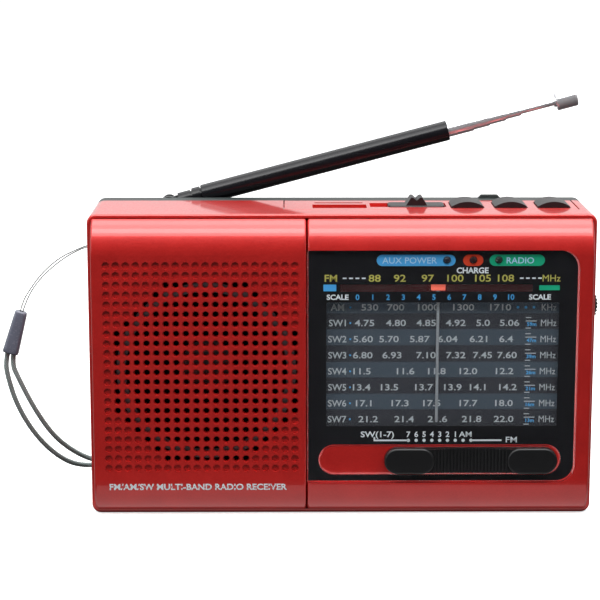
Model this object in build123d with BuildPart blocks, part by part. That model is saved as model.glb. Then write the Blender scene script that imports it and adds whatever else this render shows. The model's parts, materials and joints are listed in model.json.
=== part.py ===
from build123d import *
import os
from math import cos, pi, radians, sin, sqrt, tan

# Portable shortwave receiver. Millimetres, +X right, +Y back, +Z up.
# The origin is the centre of the case's flat bottom face.

os.makedirs("parts", exist_ok=True)

# Case
CASE_W = 165.0
CASE_H = 100.0
RIM_Y = -20.0
SEAM_Y = 11.3
BACK_Y = 26.0
WALL = 2.0
CORNER_R = 3.0
MID_Z = CASE_H / 2

# Crowned front panels
FRONT_Y = -26.0
PANEL_BACK_Y = -17.0
PANEL_SHOULDER_Y = -20.5
PANEL_MARGIN = 1.5
PANEL_GAP = 0.2
PANEL_WALL = 2.5
EDGE_R = 0.8
FLAT_INSET = 12.5
PANEL_HALF_W = 81.0
SPLIT_LEFT = -11.6
SPLIT_RIGHT = -11.2

# Loudspeaker grille
PITCH = 3.2
GRILLE_COLS = 20
GRILLE_ROWS = 22
GRILLE_X = -45.7
GRILLE_Z = 50.6
DIMPLE_R = 1.2
DIMPLE_DEPTH = 0.6
GRILLE_HOLE_R = 0.9
SPEAKER_X = -44.1
SPEAKER_Z = 49.0

# Dial window
LENS_X0 = -11.2
LENS_X1 = 76.4
LENS_Z0 = 11.85
LENS_Z1 = 89.1
LENS_CORNER_R = 6.0
LENS_BACK_Y = -24.4
LENS_FIT = 0.05
LENS_THICK = 1.5
WINDOW_X0 = -8.7
WINDOW_X1 = 74.0
WINDOW_Z0 = 27.5
WINDOW_Z1 = 87.6
LED_XS = (33.6, 42.1, 50.3)
LED_Z = 85.8
LED_R = 1.25
LED_BACK_Y = -18.5

# Band selector
BAND_SLOT_X = 32.1
BAND_SLOT_Z = 19.4
BAND_SLOT_W = 78.8
BAND_SLOT_H = 9.8
BAND_KNOB_X = 42.2
BAND_KNOB_W = 56.6
BAND_KNOB_H = 8.6
BAND_PAD_W = 16.4
BAND_STEM_X = 50.0
BAND_TRAVEL = 20.56

# Tuning drive
POINTER_X = 31.0
POINTER_MIN_X = 4.9
POINTER_MAX_X = 54.2
TUNE_X = 75.6
TUNE_Z = 67.8
WHEEL_R = 9.4
PULLEY_R = 3.92
DRUM_R = 15.7
DRUM_X = 10.0
CORD_Z = TUNE_Z + PULLEY_R
DRUM_Z = CORD_Z - DRUM_R
CORD_Y = -15.4
CORD_T = 0.5
SHAFT_R = 1.5
SHAFT_BORE_R = 1.56
FLANGE_T = 0.4
FLANGE_DY = 0.8
VOLUME_X = 75.1
VOLUME_Z = 35.0

# Top controls
TOP_X0 = -19.0
TOP_X1 = 78.2
TOP_Y0 = -9.5
TOP_THICK = 1.2
TOP_Z = CASE_H - TOP_THICK
BUTTON_XS = (41.7, 56.0, 70.2)
BUTTON_W = 10.6
BUTTON_D = 12.6
SLIDER_X = 25.05
SLIDER_Y = 0.5
SLIDER_W = 18.7
SLIDER_TRAVEL = 5.8
MODE_SLOT_X0 = 9.7
MODE_SLOT_X1 = 34.9
MODE_SLOT_D = 9.2
USB_X = -0.45
USB_Y = -2.4
CARD_X = -0.6
CARD_Y = 5.6
BOARD_Z = 84.0
BOARD_T = 1.6

# Telescopic aerial
LEDGE_Y = 18.6
LEDGE_Z = 93.6
PIVOT = (-58.2, 22.1, 97.5)
SWIVEL_R = 1.0
FORK_W = 6.2
FORK_PLAN_R = 3.3
HINGE_PIN_R = 0.8
MAST_TILT = 14.74
MAST_START = 11.8
MAST_END = 98.5
MAST_R = 3.4
MAST_BORE_R = 2.45
# outer radius, bore radius, how far the tube's end stands out from the pivot
STAGES = (
    (2.35, 2.15, 107.1),
    (2.05, 1.87, 112.8),
    (1.77, 1.57, 118.5),
    (1.42, 1.22, 123.9),
)
ROOT_END = 14.0
ROOT_CLEAR = 0.3
ROD_R = 1.0
TIP_START = 136.3
TIP_END = 143.6
TIP_R = 3.05

# Wrist strap
LUG_X = -84.6
LUG_Y = 15.5
LUG_Z = 84.0
LUG_BAR_R = 0.7
LUG_POST_DZ = 2.7
LUG_POST_T = 1.4
STRING_D = 0.4
STRAP_D = 1.8
BARREL_TOP = Vector(-108.5, 12.0, 61.9)
BARREL_END = Vector(-112.7, 12.0, 47.2)


def y_plane(y):
    """A sketch plane facing the front at depth y: local x is X, local y is Z."""
    return Plane.XZ.offset(-y)


def crowned_profile(inset, back_y):
    """The panels' side view: a flat front with a rounded top and bottom edge."""
    rise = FLAT_INSET - PANEL_MARGIN
    depth = PANEL_SHOULDER_Y - FRONT_Y
    crown_r = (rise**2 + depth**2) / (2 * depth)
    shoulder = FRONT_Y + crown_r - sqrt((crown_r - inset) ** 2 - (rise - inset) ** 2)
    low = PANEL_MARGIN + inset
    high = CASE_H - low
    front = FRONT_Y + inset
    with BuildLine() as side_view:
        Line((back_y, low), (shoulder, low))
        TangentArc((front, FLAT_INSET), (shoulder, low), tangent=(0, -1))
        Line((front, FLAT_INSET), (front, CASE_H - FLAT_INSET))
        TangentArc((front, CASE_H - FLAT_INSET), (shoulder, high), tangent=(0, 1))
        Line((shoulder, high), (back_y, high))
        Line((back_y, high), (back_y, low))
    make_face(side_view.edges())


def front_edges(panel):
    """The edges at both ends of a panel's crowned front, without those of its back."""
    ends = panel.faces().filter_by(Axis.X).edges()
    return ends.filter_by(lambda edge: edge.center().Y < PANEL_BACK_Y - 0.5)


# ---- Case -------------------------------------------------------------

BOSS_XZ = ((-76.2, 10.0), (76.2, 10.0), (-76.2, 78.0), (76.2, 78.0))
BOSS_R = 4.4
BOSS_FRONT_Y = 2.0
SCREW_SEAT_Y = 20.5
SCREW_R = 1.35
SCREW_HEAD_R = 2.7
JACK_Y = 4.0
JACK_Z = 30.0
JACK_NOSE_R = 3.0
POWER_Z = 46.0

# Red front half: a ring with a rabbet in front that holds the two panels.
with BuildPart() as front_case:
    with BuildSketch(y_plane(SEAM_Y)):
        with Locations((0, MID_Z)):
            RectangleRounded(CASE_W, CASE_H, CORNER_R)
    extrude(amount=SEAM_Y - RIM_Y)
    fillet(front_case.faces().sort_by(Axis.Y)[0].edges(), EDGE_R)
    with BuildSketch(y_plane(SEAM_Y)):
        with Locations((0, MID_Z)):
            RectangleRounded(CASE_W - 2 * WALL, CASE_H - 2 * WALL, CORNER_R / 2)
    extrude(amount=SEAM_Y - RIM_Y, mode=Mode.SUBTRACT)
    with BuildSketch(y_plane(PANEL_BACK_Y)):
        with Locations((0, MID_Z)):
            RectangleRounded(
                2 * (PANEL_HALF_W + PANEL_GAP), CASE_H - 2 * (PANEL_MARGIN - PANEL_GAP), CORNER_R / 2
            )
    extrude(amount=PANEL_BACK_Y - RIM_Y, mode=Mode.SUBTRACT)
    # screw bosses
    with BuildSketch(y_plane(SEAM_Y)):
        with Locations(*BOSS_XZ):
            Circle(BOSS_R)
    extrude(amount=SEAM_Y - BOSS_FRONT_Y)
    with BuildSketch(y_plane(SEAM_Y)):
        with Locations(*BOSS_XZ):
            Circle(SCREW_R + 0.05)
    extrude(amount=SEAM_Y - BOSS_FRONT_Y, mode=Mode.SUBTRACT)
    # recess for the control plate, with a smaller opening under it
    with Locations(((TOP_X0 + TOP_X1) / 2, (TOP_Y0 + SEAM_Y) / 2, CASE_H - TOP_THICK / 2)):
        Box(TOP_X1 - TOP_X0, SEAM_Y - TOP_Y0, TOP_THICK, mode=Mode.SUBTRACT)
    with Locations(((TOP_X0 + TOP_X1) / 2, (TOP_Y0 + SEAM_Y) / 2 + 1.0, CASE_H - WALL)):
        Box(TOP_X1 - TOP_X0 - 3.0, SEAM_Y - TOP_Y0 - 2.0, 2 * WALL, mode=Mode.SUBTRACT)
    # slots for the two thumbwheels, and holes for the sockets on the left
    with Locations((CASE_W / 2, -6.5, TUNE_Z)):
        Box(2 * WALL + 1, 6.2, 17.0, mode=Mode.SUBTRACT)
    with Locations((CASE_W / 2, 3.0, VOLUME_Z)):
        Box(2 * WALL + 1, 5.2, 17.0, mode=Mode.SUBTRACT)
    with Locations((-CASE_W / 2, JACK_Y, JACK_Z)):
        Cylinder(JACK_NOSE_R + 0.1, 3 * WALL, rotation=(0, 90, 0), mode=Mode.SUBTRACT)
    with Locations((-CASE_W / 2, JACK_Y, POWER_Z)):
        Box(3 * WALL, 3.6, 8.6, mode=Mode.SUBTRACT)
front_case.part.label = "front_case"
export_step(front_case.part, "parts/front_case.step")

DOOR_W = 62.0
DOOR_H = 62.0
DOOR_FRONT_Y = 24.4
DOOR_FIT = 0.15
TRAY_PLATE_Y = 22.8

# Grey rear half with the aerial's ledge, the battery opening and screw wells.
with BuildPart() as rear_case:
    with BuildSketch(y_plane(SEAM_Y)):
        with Locations((0, MID_Z)):
            RectangleRounded(CASE_W, CASE_H, CORNER_R)
    extrude(amount=-(BACK_Y - SEAM_Y))
    fillet(rear_case.faces().sort_by(Axis.Y)[-1].edges(), 2.5)
    with BuildSketch(y_plane(SEAM_Y)):
        with Locations((0, MID_Z)):
            RectangleRounded(CASE_W - 2 * WALL, CASE_H - 2 * WALL, CORNER_R / 2)
    extrude(amount=-(LEDGE_Y - WALL - SEAM_Y), mode=Mode.SUBTRACT)
    with BuildSketch(y_plane(LEDGE_Y - WALL)):
        with Locations((0, LEDGE_Z / 2)):
            Rectangle(CASE_W - 2 * WALL, LEDGE_Z - 2 * WALL)
    extrude(amount=-(BACK_Y - WALL - LEDGE_Y + WALL), mode=Mode.SUBTRACT)
    with Locations((0, LEDGE_Y + 5.0, LEDGE_Z + 5.0)):
        Box(CASE_W + 2, 10.0, 10.0, mode=Mode.SUBTRACT)
    # thicker wall round the battery opening
    with Locations((0, (TRAY_PLATE_Y + BACK_Y - WALL) / 2 + 0.2, 33.0)):
        Box(DOOR_W + 8.0, BACK_Y - WALL - TRAY_PLATE_Y + 0.4, 64.0)
    with Locations((0, BACK_Y - 0.9, DOOR_H / 2 - 1.0)):
        Box(DOOR_W + 2 * DOOR_FIT, 1.8, DOOR_H + 2.0 + 2 * DOOR_FIT, mode=Mode.SUBTRACT)
    with Locations((0, BACK_Y - WALL, 40.0)):
        Box(56.0, 6.0, 36.0, mode=Mode.SUBTRACT)
    # screw bosses with a well for each head
    with BuildSketch(y_plane(SEAM_Y + 0.1)):
        with Locations(*BOSS_XZ):
            Circle(BOSS_R)
    extrude(amount=-(BACK_Y - WALL - SEAM_Y))
    with BuildSketch(y_plane(SCREW_SEAT_Y)):
        with Locations(*BOSS_XZ):
            Circle(SCREW_HEAD_R + 0.3)
    extrude(amount=-(BACK_Y - SCREW_SEAT_Y), mode=Mode.SUBTRACT)
    with BuildSketch(y_plane(SEAM_Y)):
        with Locations(*BOSS_XZ):
            Circle(SCREW_R + 0.2)
    extrude(amount=-(SCREW_SEAT_Y - SEAM_Y), mode=Mode.SUBTRACT)
    # bearing hole for the aerial's swivel
    with Locations((PIVOT[0], PIVOT[1], LEDGE_Z - 1.0)):
        Cylinder(SWIVEL_R + 0.06, 3.0, mode=Mode.SUBTRACT)
rear_case.part.label = "rear_case"
export_step(rear_case.part, "parts/rear_case.step")

# Four case screws, driven in from the back.
with BuildPart() as case_screws:
    with BuildSketch(y_plane(SCREW_SEAT_Y + 0.02)):
        with Locations(*BOSS_XZ):
            Circle(SCREW_HEAD_R)
    extrude(amount=-1.8)
    with BuildSketch(y_plane(SCREW_SEAT_Y + 0.02)):
        with Locations(*BOSS_XZ):
            Circle(SCREW_R)
    extrude(amount=SCREW_SEAT_Y - BOSS_FRONT_Y)
    with BuildSketch(y_plane(SCREW_SEAT_Y + 1.0)):
        with Locations(*BOSS_XZ):
            Rectangle(3.0, 0.6)
            Rectangle(0.6, 3.0)
    extrude(amount=-1.0, mode=Mode.SUBTRACT)
case_screws.part.label = "case_screws"
export_step(case_screws.part, "parts/case_screws.step")

# ---- Front panels ---------------------------------------------------------

# Left panel: dimpled all over, drilled through in front of the loudspeaker.
with BuildPart() as speaker_panel:
    with BuildSketch(Plane.YZ.offset(-PANEL_HALF_W)):
        crowned_profile(0.0, PANEL_BACK_Y)
    extrude(amount=PANEL_HALF_W + SPLIT_LEFT)
    fillet(front_edges(speaker_panel), EDGE_R)
    with BuildSketch(Plane.YZ.offset(-PANEL_HALF_W + PANEL_WALL)):
        crowned_profile(PANEL_WALL, PANEL_BACK_Y)
    extrude(amount=PANEL_HALF_W + SPLIT_LEFT - 2 * PANEL_WALL, mode=Mode.SUBTRACT)
    with BuildSketch(y_plane(FRONT_Y)):
        with Locations((GRILLE_X, GRILLE_Z)):
            with GridLocations(PITCH, PITCH, GRILLE_COLS, GRILLE_ROWS):
                Circle(DIMPLE_R)
    extrude(amount=-DIMPLE_DEPTH, mode=Mode.SUBTRACT)
    hole_steps = [
        (col * PITCH + SPEAKER_X, row * PITCH + SPEAKER_Z)
        for col in range(-9, 10)
        for row in range(-9, 10)
        if abs(col) + abs(row) <= 13
    ]
    with BuildSketch(y_plane(FRONT_Y)):
        with Locations(*hole_steps):
            Circle(GRILLE_HOLE_R)
    extrude(amount=-2 * PANEL_WALL, mode=Mode.SUBTRACT)
speaker_panel.part.label = "speaker_panel"
export_step(speaker_panel.part, "parts/speaker_panel.step")


def lens_outline(fit):
    """The dial window's outline, square at the left and rounded at the right."""
    with BuildLine() as outline:
        Polyline(
            (LENS_X0 + fit, LENS_Z0 + fit),
            (LENS_X1 - fit, LENS_Z0 + fit),
            (LENS_X1 - fit, LENS_Z1 - fit),
            (LENS_X0 + fit, LENS_Z1 - fit),
            close=True,
        )
    face = make_face(outline.edges())
    fillet(face.vertices().sort_by(Axis.X)[-2:], LENS_CORNER_R - fit)


# Right panel: a frame round the dial window, with a channel for the band selector.
with BuildPart() as dial_bezel:
    with BuildSketch(Plane.YZ.offset(SPLIT_RIGHT)):
        crowned_profile(0.0, PANEL_BACK_Y)
    extrude(amount=PANEL_HALF_W - SPLIT_RIGHT)
    fillet(front_edges(dial_bezel), EDGE_R)
    with BuildSketch(Plane.YZ.offset(SPLIT_RIGHT + PANEL_WALL)):
        crowned_profile(PANEL_WALL, PANEL_BACK_Y)
    extrude(amount=PANEL_HALF_W - SPLIT_RIGHT - 2 * PANEL_WALL, mode=Mode.SUBTRACT)
    with BuildSketch(y_plane(LENS_BACK_Y)):
        lens_outline(0.0)
    extrude(amount=3.0, mode=Mode.SUBTRACT)
    with Locations(((WINDOW_X0 + WINDOW_X1) / 2, LENS_BACK_Y, (WINDOW_Z0 + WINDOW_Z1) / 2)):
        Box(WINDOW_X1 - WINDOW_X0, 3.0, WINDOW_Z1 - WINDOW_Z0, mode=Mode.SUBTRACT)
    slit_x = BAND_STEM_X - BAND_TRAVEL / 2
    with Locations((slit_x, LENS_BACK_Y, BAND_SLOT_Z)):
        Box(BAND_TRAVEL + 2.4, 3.0, 2.0, mode=Mode.SUBTRACT)
dial_bezel.part.label = "dial_bezel"
export_step(dial_bezel.part, "parts/dial_bezel.step")

# Clear dial window with the selector's slot and three lamp holes.
with BuildPart() as dial_lens:
    with BuildSketch(y_plane(LENS_BACK_Y - 0.02)):
        lens_outline(LENS_FIT)
        with Locations((BAND_SLOT_X, BAND_SLOT_Z)):
            SlotOverall(BAND_SLOT_W, BAND_SLOT_H, mode=Mode.SUBTRACT)
        with Locations(*[(x, LED_Z) for x in LED_XS]):
            Circle(LED_R + 0.1, mode=Mode.SUBTRACT)
    extrude(amount=LENS_THICK)
dial_lens.part.label = "dial_lens"
export_step(dial_lens.part, "parts/dial_lens.step")

DIAL_PLATE_Y = -22.2
DIAL_PLATE_T = 0.8
SLIT_Z = 76.7

# Dark plate behind the window, with the slit that the pointer's arm runs in.
with BuildPart() as dial_plate:
    with Locations((32.6, DIAL_PLATE_Y + DIAL_PLATE_T / 2, 57.5)):
        Box(82.4, DIAL_PLATE_T, 59.6)
    with Locations(((POINTER_MIN_X + POINTER_MAX_X) / 2, DIAL_PLATE_Y + DIAL_PLATE_T / 2, SLIT_Z)):
        Box(POINTER_MAX_X - POINTER_MIN_X + 4.0, 2.0, 1.4, mode=Mode.SUBTRACT)
    with Locations(*[(x, DIAL_PLATE_Y, LED_Z) for x in LED_XS]):
        Cylinder(LED_R + 0.1, 4.0, rotation=(90, 0, 0), mode=Mode.SUBTRACT)
dial_plate.part.label = "dial_plate"
export_step(dial_plate.part, "parts/dial_plate.step")

# Three lamps: blue, red and green.
for led_name, led_x in zip(("led_blue", "led_red", "led_green"), LED_XS):
    with BuildPart() as led:
        with BuildSketch(y_plane(LED_BACK_Y)):
            with Locations((led_x, LED_Z)):
                Circle(LED_R)
        extrude(amount=6.6)
        fillet(led.faces().sort_by(Axis.Y)[0].edges(), 0.9)
        with BuildSketch(y_plane(LED_BACK_Y)):
            with Locations((led_x, LED_Z)):
                Circle(LED_R + 0.35)
        extrude(amount=0.8)
    led.part.label = led_name
    export_step(led.part, "parts/" + led_name + ".step")

# ---- Loudspeaker ------------------------------------------------------------

def speaker_turn(points):
    """Revolves a half section, given as (radius, depth) points, about the speaker's axis."""
    axis_line = Plane(origin=(SPEAKER_X, 0, SPEAKER_Z), x_dir=(1, 0, 0), z_dir=(0, 0, 1))
    with BuildSketch(axis_line) as half_section:
        with BuildLine():
            Polyline(*points, close=True)
        make_face()
    revolve(half_section.sketch, axis=Axis((SPEAKER_X, 0, SPEAKER_Z), (0, 1, 0)))


with BuildPart() as speaker_frame:
    speaker_turn(((26.2, -23.4), (29.2, -23.4), (29.2, -22.0), (27.2, -20.4), (15.5, -10.4),
                  (15.5, -9.0), (9.5, -9.0), (9.5, -10.2), (14.8, -11.2), (26.2, -21.2)))
speaker_frame.part.label = "speaker_frame"
export_step(speaker_frame.part, "parts/speaker_frame.step")

with BuildPart() as speaker_cone:
    speaker_turn(((22.2, -22.2), (23.8, -22.9), (25.4, -22.2), (25.4, -21.9), (23.8, -22.5),
                  (22.2, -21.8), (8.5, -13.6), (0.0, -15.9), (0.0, -16.3), (8.5, -14.1)))
speaker_cone.part.label = "speaker_cone"
export_step(speaker_cone.part, "parts/speaker_cone.step")

with BuildPart() as speaker_magnet:
    speaker_turn(((0.0, -8.9), (16.0, -8.9), (16.0, -0.5), (15.0, 0.5), (0.0, 0.5)))
speaker_magnet.part.label = "speaker_magnet"
export_step(speaker_magnet.part, "parts/speaker_magnet.step")

# ---- Band selector ------------------------------------------------------------

KNOB_BACK_Y = LENS_BACK_Y - 0.1
KNOB_FRONT_Y = -27.4
RIDGE_COUNT = 22
RIDGE_PITCH = 1.12
RIDGE_R = 0.42
GRIP_HALF = 14.5
GRIP_DIP = 1.3

# Long selector knob: a smooth pad at each end and a dished, ribbed grip between.
with BuildPart() as band_knob:
    with BuildSketch(y_plane(KNOB_BACK_Y)):
        with Locations((BAND_KNOB_X, BAND_SLOT_Z)):
            SlotOverall(BAND_KNOB_W, BAND_KNOB_H)
    extrude(amount=1.0)
    pad_shift = (BAND_KNOB_W - BAND_PAD_W) / 2
    with BuildSketch(y_plane(KNOB_BACK_Y)):
        with Locations((BAND_KNOB_X - pad_shift, BAND_SLOT_Z), (BAND_KNOB_X + pad_shift, BAND_SLOT_Z)):
            SlotOverall(BAND_PAD_W, BAND_KNOB_H)
    extrude(amount=KNOB_BACK_Y - KNOB_FRONT_Y)
    fillet(band_knob.faces().filter_by(Axis.Y).group_by(Axis.Y)[0].edges(), 0.7)
    with BuildSketch(Plane.XY.offset(BAND_SLOT_Z - BAND_KNOB_H / 2 + 0.3)):
        with BuildLine():
            grip_y = KNOB_FRONT_Y + 0.4
            ThreePointArc(
                (BAND_KNOB_X - GRIP_HALF, grip_y),
                (BAND_KNOB_X, grip_y + GRIP_DIP),
                (BAND_KNOB_X + GRIP_HALF, grip_y),
            )
            Polyline(
                (BAND_KNOB_X + GRIP_HALF, grip_y),
                (BAND_KNOB_X + GRIP_HALF, KNOB_BACK_Y),
                (BAND_KNOB_X - GRIP_HALF, KNOB_BACK_Y),
                (BAND_KNOB_X - GRIP_HALF, grip_y),
            )
        make_face()
        for rib in range(RIDGE_COUNT):
            across = (rib - (RIDGE_COUNT - 1) / 2) * RIDGE_PITCH
            dip = GRIP_DIP * (1 - (across / GRIP_HALF) ** 2)
            with Locations((BAND_KNOB_X + across, grip_y + dip)):
                Circle(RIDGE_R)
    extrude(amount=BAND_KNOB_H - 0.6)
    with Locations((BAND_STEM_X, -22.3, BAND_SLOT_Z)):
        Box(1.6, 4.6, 1.6)
band_knob.part.label = "band_knob"
export_step(band_knob.part, "parts/band_knob.step")

with BuildPart() as band_switch:
    with Locations((slit_x, -18.5, BAND_SLOT_Z)):
        Box(BAND_TRAVEL + 7.0, 5.6, 8.0)
    with Locations((slit_x, -20.3, BAND_SLOT_Z)):
        Box(BAND_TRAVEL + 2.4, 2.4, 2.0, mode=Mode.SUBTRACT)
band_switch.part.label = "band_switch"
export_step(band_switch.part, "parts/band_switch.step")

# ---- Tuning drive ---------------------------------------------------------------

FLAG_W = 4.6
FLAG_H = 2.5
NEEDLE_W = 0.9
NEEDLE_L = 44.0
ARM_W = 2.4

# Red pointer block with its long needle, and an arm back to the dial cord.
with BuildPart() as pointer:
    with Locations((POINTER_X, -23.3, 76.9)):
        Box(FLAG_W, 1.0, FLAG_H)
    with Locations((POINTER_X, -23.2, 53.9)):
        Box(NEEDLE_W, 0.8, NEEDLE_L)
    with Locations((POINTER_X, (CORD_Y - 23.2) / 2, SLIT_Z)):
        Box(ARM_W, CORD_Y + 24.2, 0.8)
    with Locations((POINTER_X, CORD_Y, (SLIT_Z + CORD_Z) / 2 + 0.35)):
        Box(ARM_W, 1.0, SLIT_Z - CORD_Z)
pointer.part.label = "pointer"
export_step(pointer.part, "parts/pointer.step")


def knurled_wheel(radius, flutes):
    """A thumbwheel's outline with a fluted rim."""
    Circle(radius)
    with PolarLocations(radius, flutes):
        Circle(0.34, mode=Mode.SUBTRACT)


with BuildPart() as tuning_wheel:
    with BuildSketch(Plane(origin=(TUNE_X, -4.0, TUNE_Z), x_dir=(1, 0, 0), z_dir=(0, -1, 0))):
        knurled_wheel(WHEEL_R, 48)
    extrude(amount=5.0)
    with Locations((TUNE_X, -9.8, TUNE_Z)):
        Cylinder(SHAFT_R, 13.6, rotation=(90, 0, 0))
tuning_wheel.part.label = "tuning_wheel"
export_step(tuning_wheel.part, "parts/tuning_wheel.step")

# Cord pulley pressed on the tuning shaft, grooved for the dial cord.
with BuildPart() as tuning_pulley:
    with Locations((TUNE_X, CORD_Y, TUNE_Z)):
        Cylinder(PULLEY_R - CORD_T / 2, 2.0, rotation=(90, 0, 0))
        Cylinder(SHAFT_R, 2.0, rotation=(90, 0, 0), mode=Mode.SUBTRACT)
    with Locations((TUNE_X, CORD_Y - FLANGE_DY, TUNE_Z), (TUNE_X, CORD_Y + FLANGE_DY, TUNE_Z)):
        Cylinder(PULLEY_R + 0.5, FLANGE_T, rotation=(90, 0, 0))
        Cylinder(SHAFT_R, FLANGE_T, rotation=(90, 0, 0), mode=Mode.SUBTRACT)
tuning_pulley.part.label = "tuning_pulley"
export_step(tuning_pulley.part, "parts/tuning_pulley.step")

with BuildPart() as tuning_bracket:
    with Locations((73.2, -12.2, TUNE_Z)):
        Box(14.4, 1.6, 20.0)
    with Locations((TUNE_X, -12.2, TUNE_Z)):
        Cylinder(SHAFT_BORE_R, 3.0, rotation=(90, 0, 0), mode=Mode.SUBTRACT)
tuning_bracket.part.label = "tuning_bracket"
export_step(tuning_bracket.part, "parts/tuning_bracket.step")

# Drum on the tuning capacitor's shaft.
with BuildPart() as tuning_drum:
    with Locations((DRUM_X, CORD_Y, DRUM_Z)):
        Cylinder(DRUM_R - CORD_T / 2 - 0.1, 2.0, rotation=(90, 0, 0))
    with Locations((DRUM_X, CORD_Y - FLANGE_DY, DRUM_Z), (DRUM_X, CORD_Y + FLANGE_DY, DRUM_Z)):
        Cylinder(DRUM_R + 0.6, FLANGE_T, rotation=(90, 0, 0))
    with Locations((DRUM_X, -13.0, DRUM_Z)):
        Cylinder(2.0, 5.0, rotation=(90, 0, 0))
tuning_drum.part.label = "tuning_drum"
export_step(tuning_drum.part, "parts/tuning_drum.step")

with BuildPart() as tuning_capacitor:
    with Locations((DRUM_X, -10.4, DRUM_Z)):
        Box(20.0, 6.7, 20.0)
    with Locations((DRUM_X, -12.2, DRUM_Z)):
        Cylinder(2.06, 4.0, rotation=(90, 0, 0), mode=Mode.SUBTRACT)
tuning_capacitor.part.label = "tuning_capacitor"
export_step(tuning_capacitor.part, "parts/tuning_capacitor.step")

# Dial cord: an endless loop round the pulley and the drum.
with BuildPart() as dial_cord:
    for loop_grow, loop_mode in ((CORD_T / 2 - 0.02, Mode.ADD), (-CORD_T / 2 + 0.06, Mode.SUBTRACT)):
        with BuildSketch(y_plane(CORD_Y + CORD_T / 2)):
            with BuildSketch(mode=Mode.PRIVATE) as wheels:
                with Locations((TUNE_X, TUNE_Z)):
                    Circle(PULLEY_R + loop_grow)
                with Locations((DRUM_X, DRUM_Z)):
                    Circle(DRUM_R + loop_grow)
            make_hull(wheels.sketch.edges())
        extrude(amount=CORD_T, mode=loop_mode)
dial_cord.part.label = "dial_cord"
export_step(dial_cord.part, "parts/dial_cord.step")

# ---- Volume control ------------------------------------------------------------

with BuildPart() as volume_wheel:
    with BuildSketch(Plane(origin=(VOLUME_X, 5.0, VOLUME_Z), x_dir=(1, 0, 0), z_dir=(0, -1, 0))):
        knurled_wheel(WHEEL_R, 48)
    extrude(amount=4.0)
    with Locations((VOLUME_X, 6.2, VOLUME_Z)):
        Cylinder(SHAFT_R, 6.0, rotation=(90, 0, 0))
volume_wheel.part.label = "volume_wheel"
export_step(volume_wheel.part, "parts/volume_wheel.step")

with BuildPart() as volume_pot:
    with Locations((VOLUME_X - 4.0, 7.8, VOLUME_Z)):
        Box(17.0, 4.0, 16.0)
    with Locations((VOLUME_X, 7.4, VOLUME_Z)):
        Cylinder(SHAFT_BORE_R, 4.8, rotation=(90, 0, 0), mode=Mode.SUBTRACT)
volume_pot.part.label = "volume_pot"
export_step(volume_pot.part, "parts/volume_pot.step")

# ---- Top controls ------------------------------------------------------------

TRAY_T = 1.2
MODE_FLOOR_Z = 98.6
USB_FLOOR_Z = 97.4

# Inset control plate with pockets under the mode slider and the sockets.
with BuildPart() as top_plate:
    plate_x = (TOP_X0 + TOP_X1) / 2
    plate_y = (TOP_Y0 + SEAM_Y) / 2
    with Locations((plate_x, plate_y, CASE_H - TOP_THICK / 2)):
        Box(TOP_X1 - TOP_X0 - 0.6, SEAM_Y - TOP_Y0 - 0.4, TOP_THICK)
    fillet(top_plate.faces().sort_by(Axis.Z)[-1].edges(), 0.25)
    mode_x = (MODE_SLOT_X0 + MODE_SLOT_X1) / 2
    mode_w = MODE_SLOT_X1 - MODE_SLOT_X0
    with Locations((mode_x, SLIDER_Y, (MODE_FLOOR_Z - TRAY_T + TOP_Z) / 2)):
        Box(mode_w + 1.0, MODE_SLOT_D + 2.0, TOP_Z - MODE_FLOOR_Z + TRAY_T)
    with Locations((mode_x, SLIDER_Y, (MODE_FLOOR_Z + CASE_H) / 2)):
        Box(mode_w, MODE_SLOT_D, CASE_H - MODE_FLOOR_Z, mode=Mode.SUBTRACT)
    with Locations((SLIDER_X - SLIDER_TRAVEL / 2, SLIDER_Y, 98.0)):
        Box(SLIDER_TRAVEL + 2.2, 2.0, 4.0, mode=Mode.SUBTRACT)
    with Locations((USB_X, USB_Y, (USB_FLOOR_Z - TRAY_T + TOP_Z) / 2)):
        Box(19.6, 9.8, TOP_Z - USB_FLOOR_Z + TRAY_T)
    with Locations((USB_X, USB_Y, (USB_FLOOR_Z + CASE_H) / 2)):
        Box(17.9, 8.1, CASE_H - USB_FLOOR_Z, mode=Mode.SUBTRACT)
    with Locations((USB_X, USB_Y, USB_FLOOR_Z - 1.0)):
        Box(13.4, 6.0, 4.0, mode=Mode.SUBTRACT)
    with BuildSketch(Plane.XY.offset(CASE_H)):
        with Locations((CARD_X, CARD_Y)):
            SlotOverall(16.4, 1.8)
    extrude(amount=-2 * TOP_THICK, mode=Mode.SUBTRACT)
    for button_x in BUTTON_XS:
        with Locations((button_x, 0, CASE_H)):
            Box(BUTTON_W + 0.5, BUTTON_D + 0.5, 4.0, mode=Mode.SUBTRACT)
top_plate.part.label = "top_plate"
export_step(top_plate.part, "parts/top_plate.step")

# Mode slider: a flat shoe with a peaked, notched thumb grip.
with BuildPart() as mode_slider:
    with Locations((SLIDER_X, SLIDER_Y, 99.6)):
        Box(SLIDER_W, 8.8, 1.6)
    fillet(mode_slider.edges().filter_by(Axis.Z), 1.2)
    fillet(mode_slider.faces().sort_by(Axis.Z)[-1].edges(), 0.5)
    with BuildSketch(y_plane(SLIDER_Y + 4.0)):
        with BuildLine():
            Polyline(
                (SLIDER_X - 3.6, 100.2),
                (SLIDER_X + 3.6, 100.2),
                (SLIDER_X + 1.9, 103.0),
                (SLIDER_X + 1.1, 103.0),
                (SLIDER_X, 102.0),
                (SLIDER_X - 1.1, 103.0),
                (SLIDER_X - 1.9, 103.0),
                close=True,
            )
        make_face()
    extrude(amount=8.0)
    with Locations((SLIDER_X, SLIDER_Y, 96.4)):
        Box(1.6, 1.4, 5.2)
mode_slider.part.label = "mode_slider"
export_step(mode_slider.part, "parts/mode_slider.step")

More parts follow.
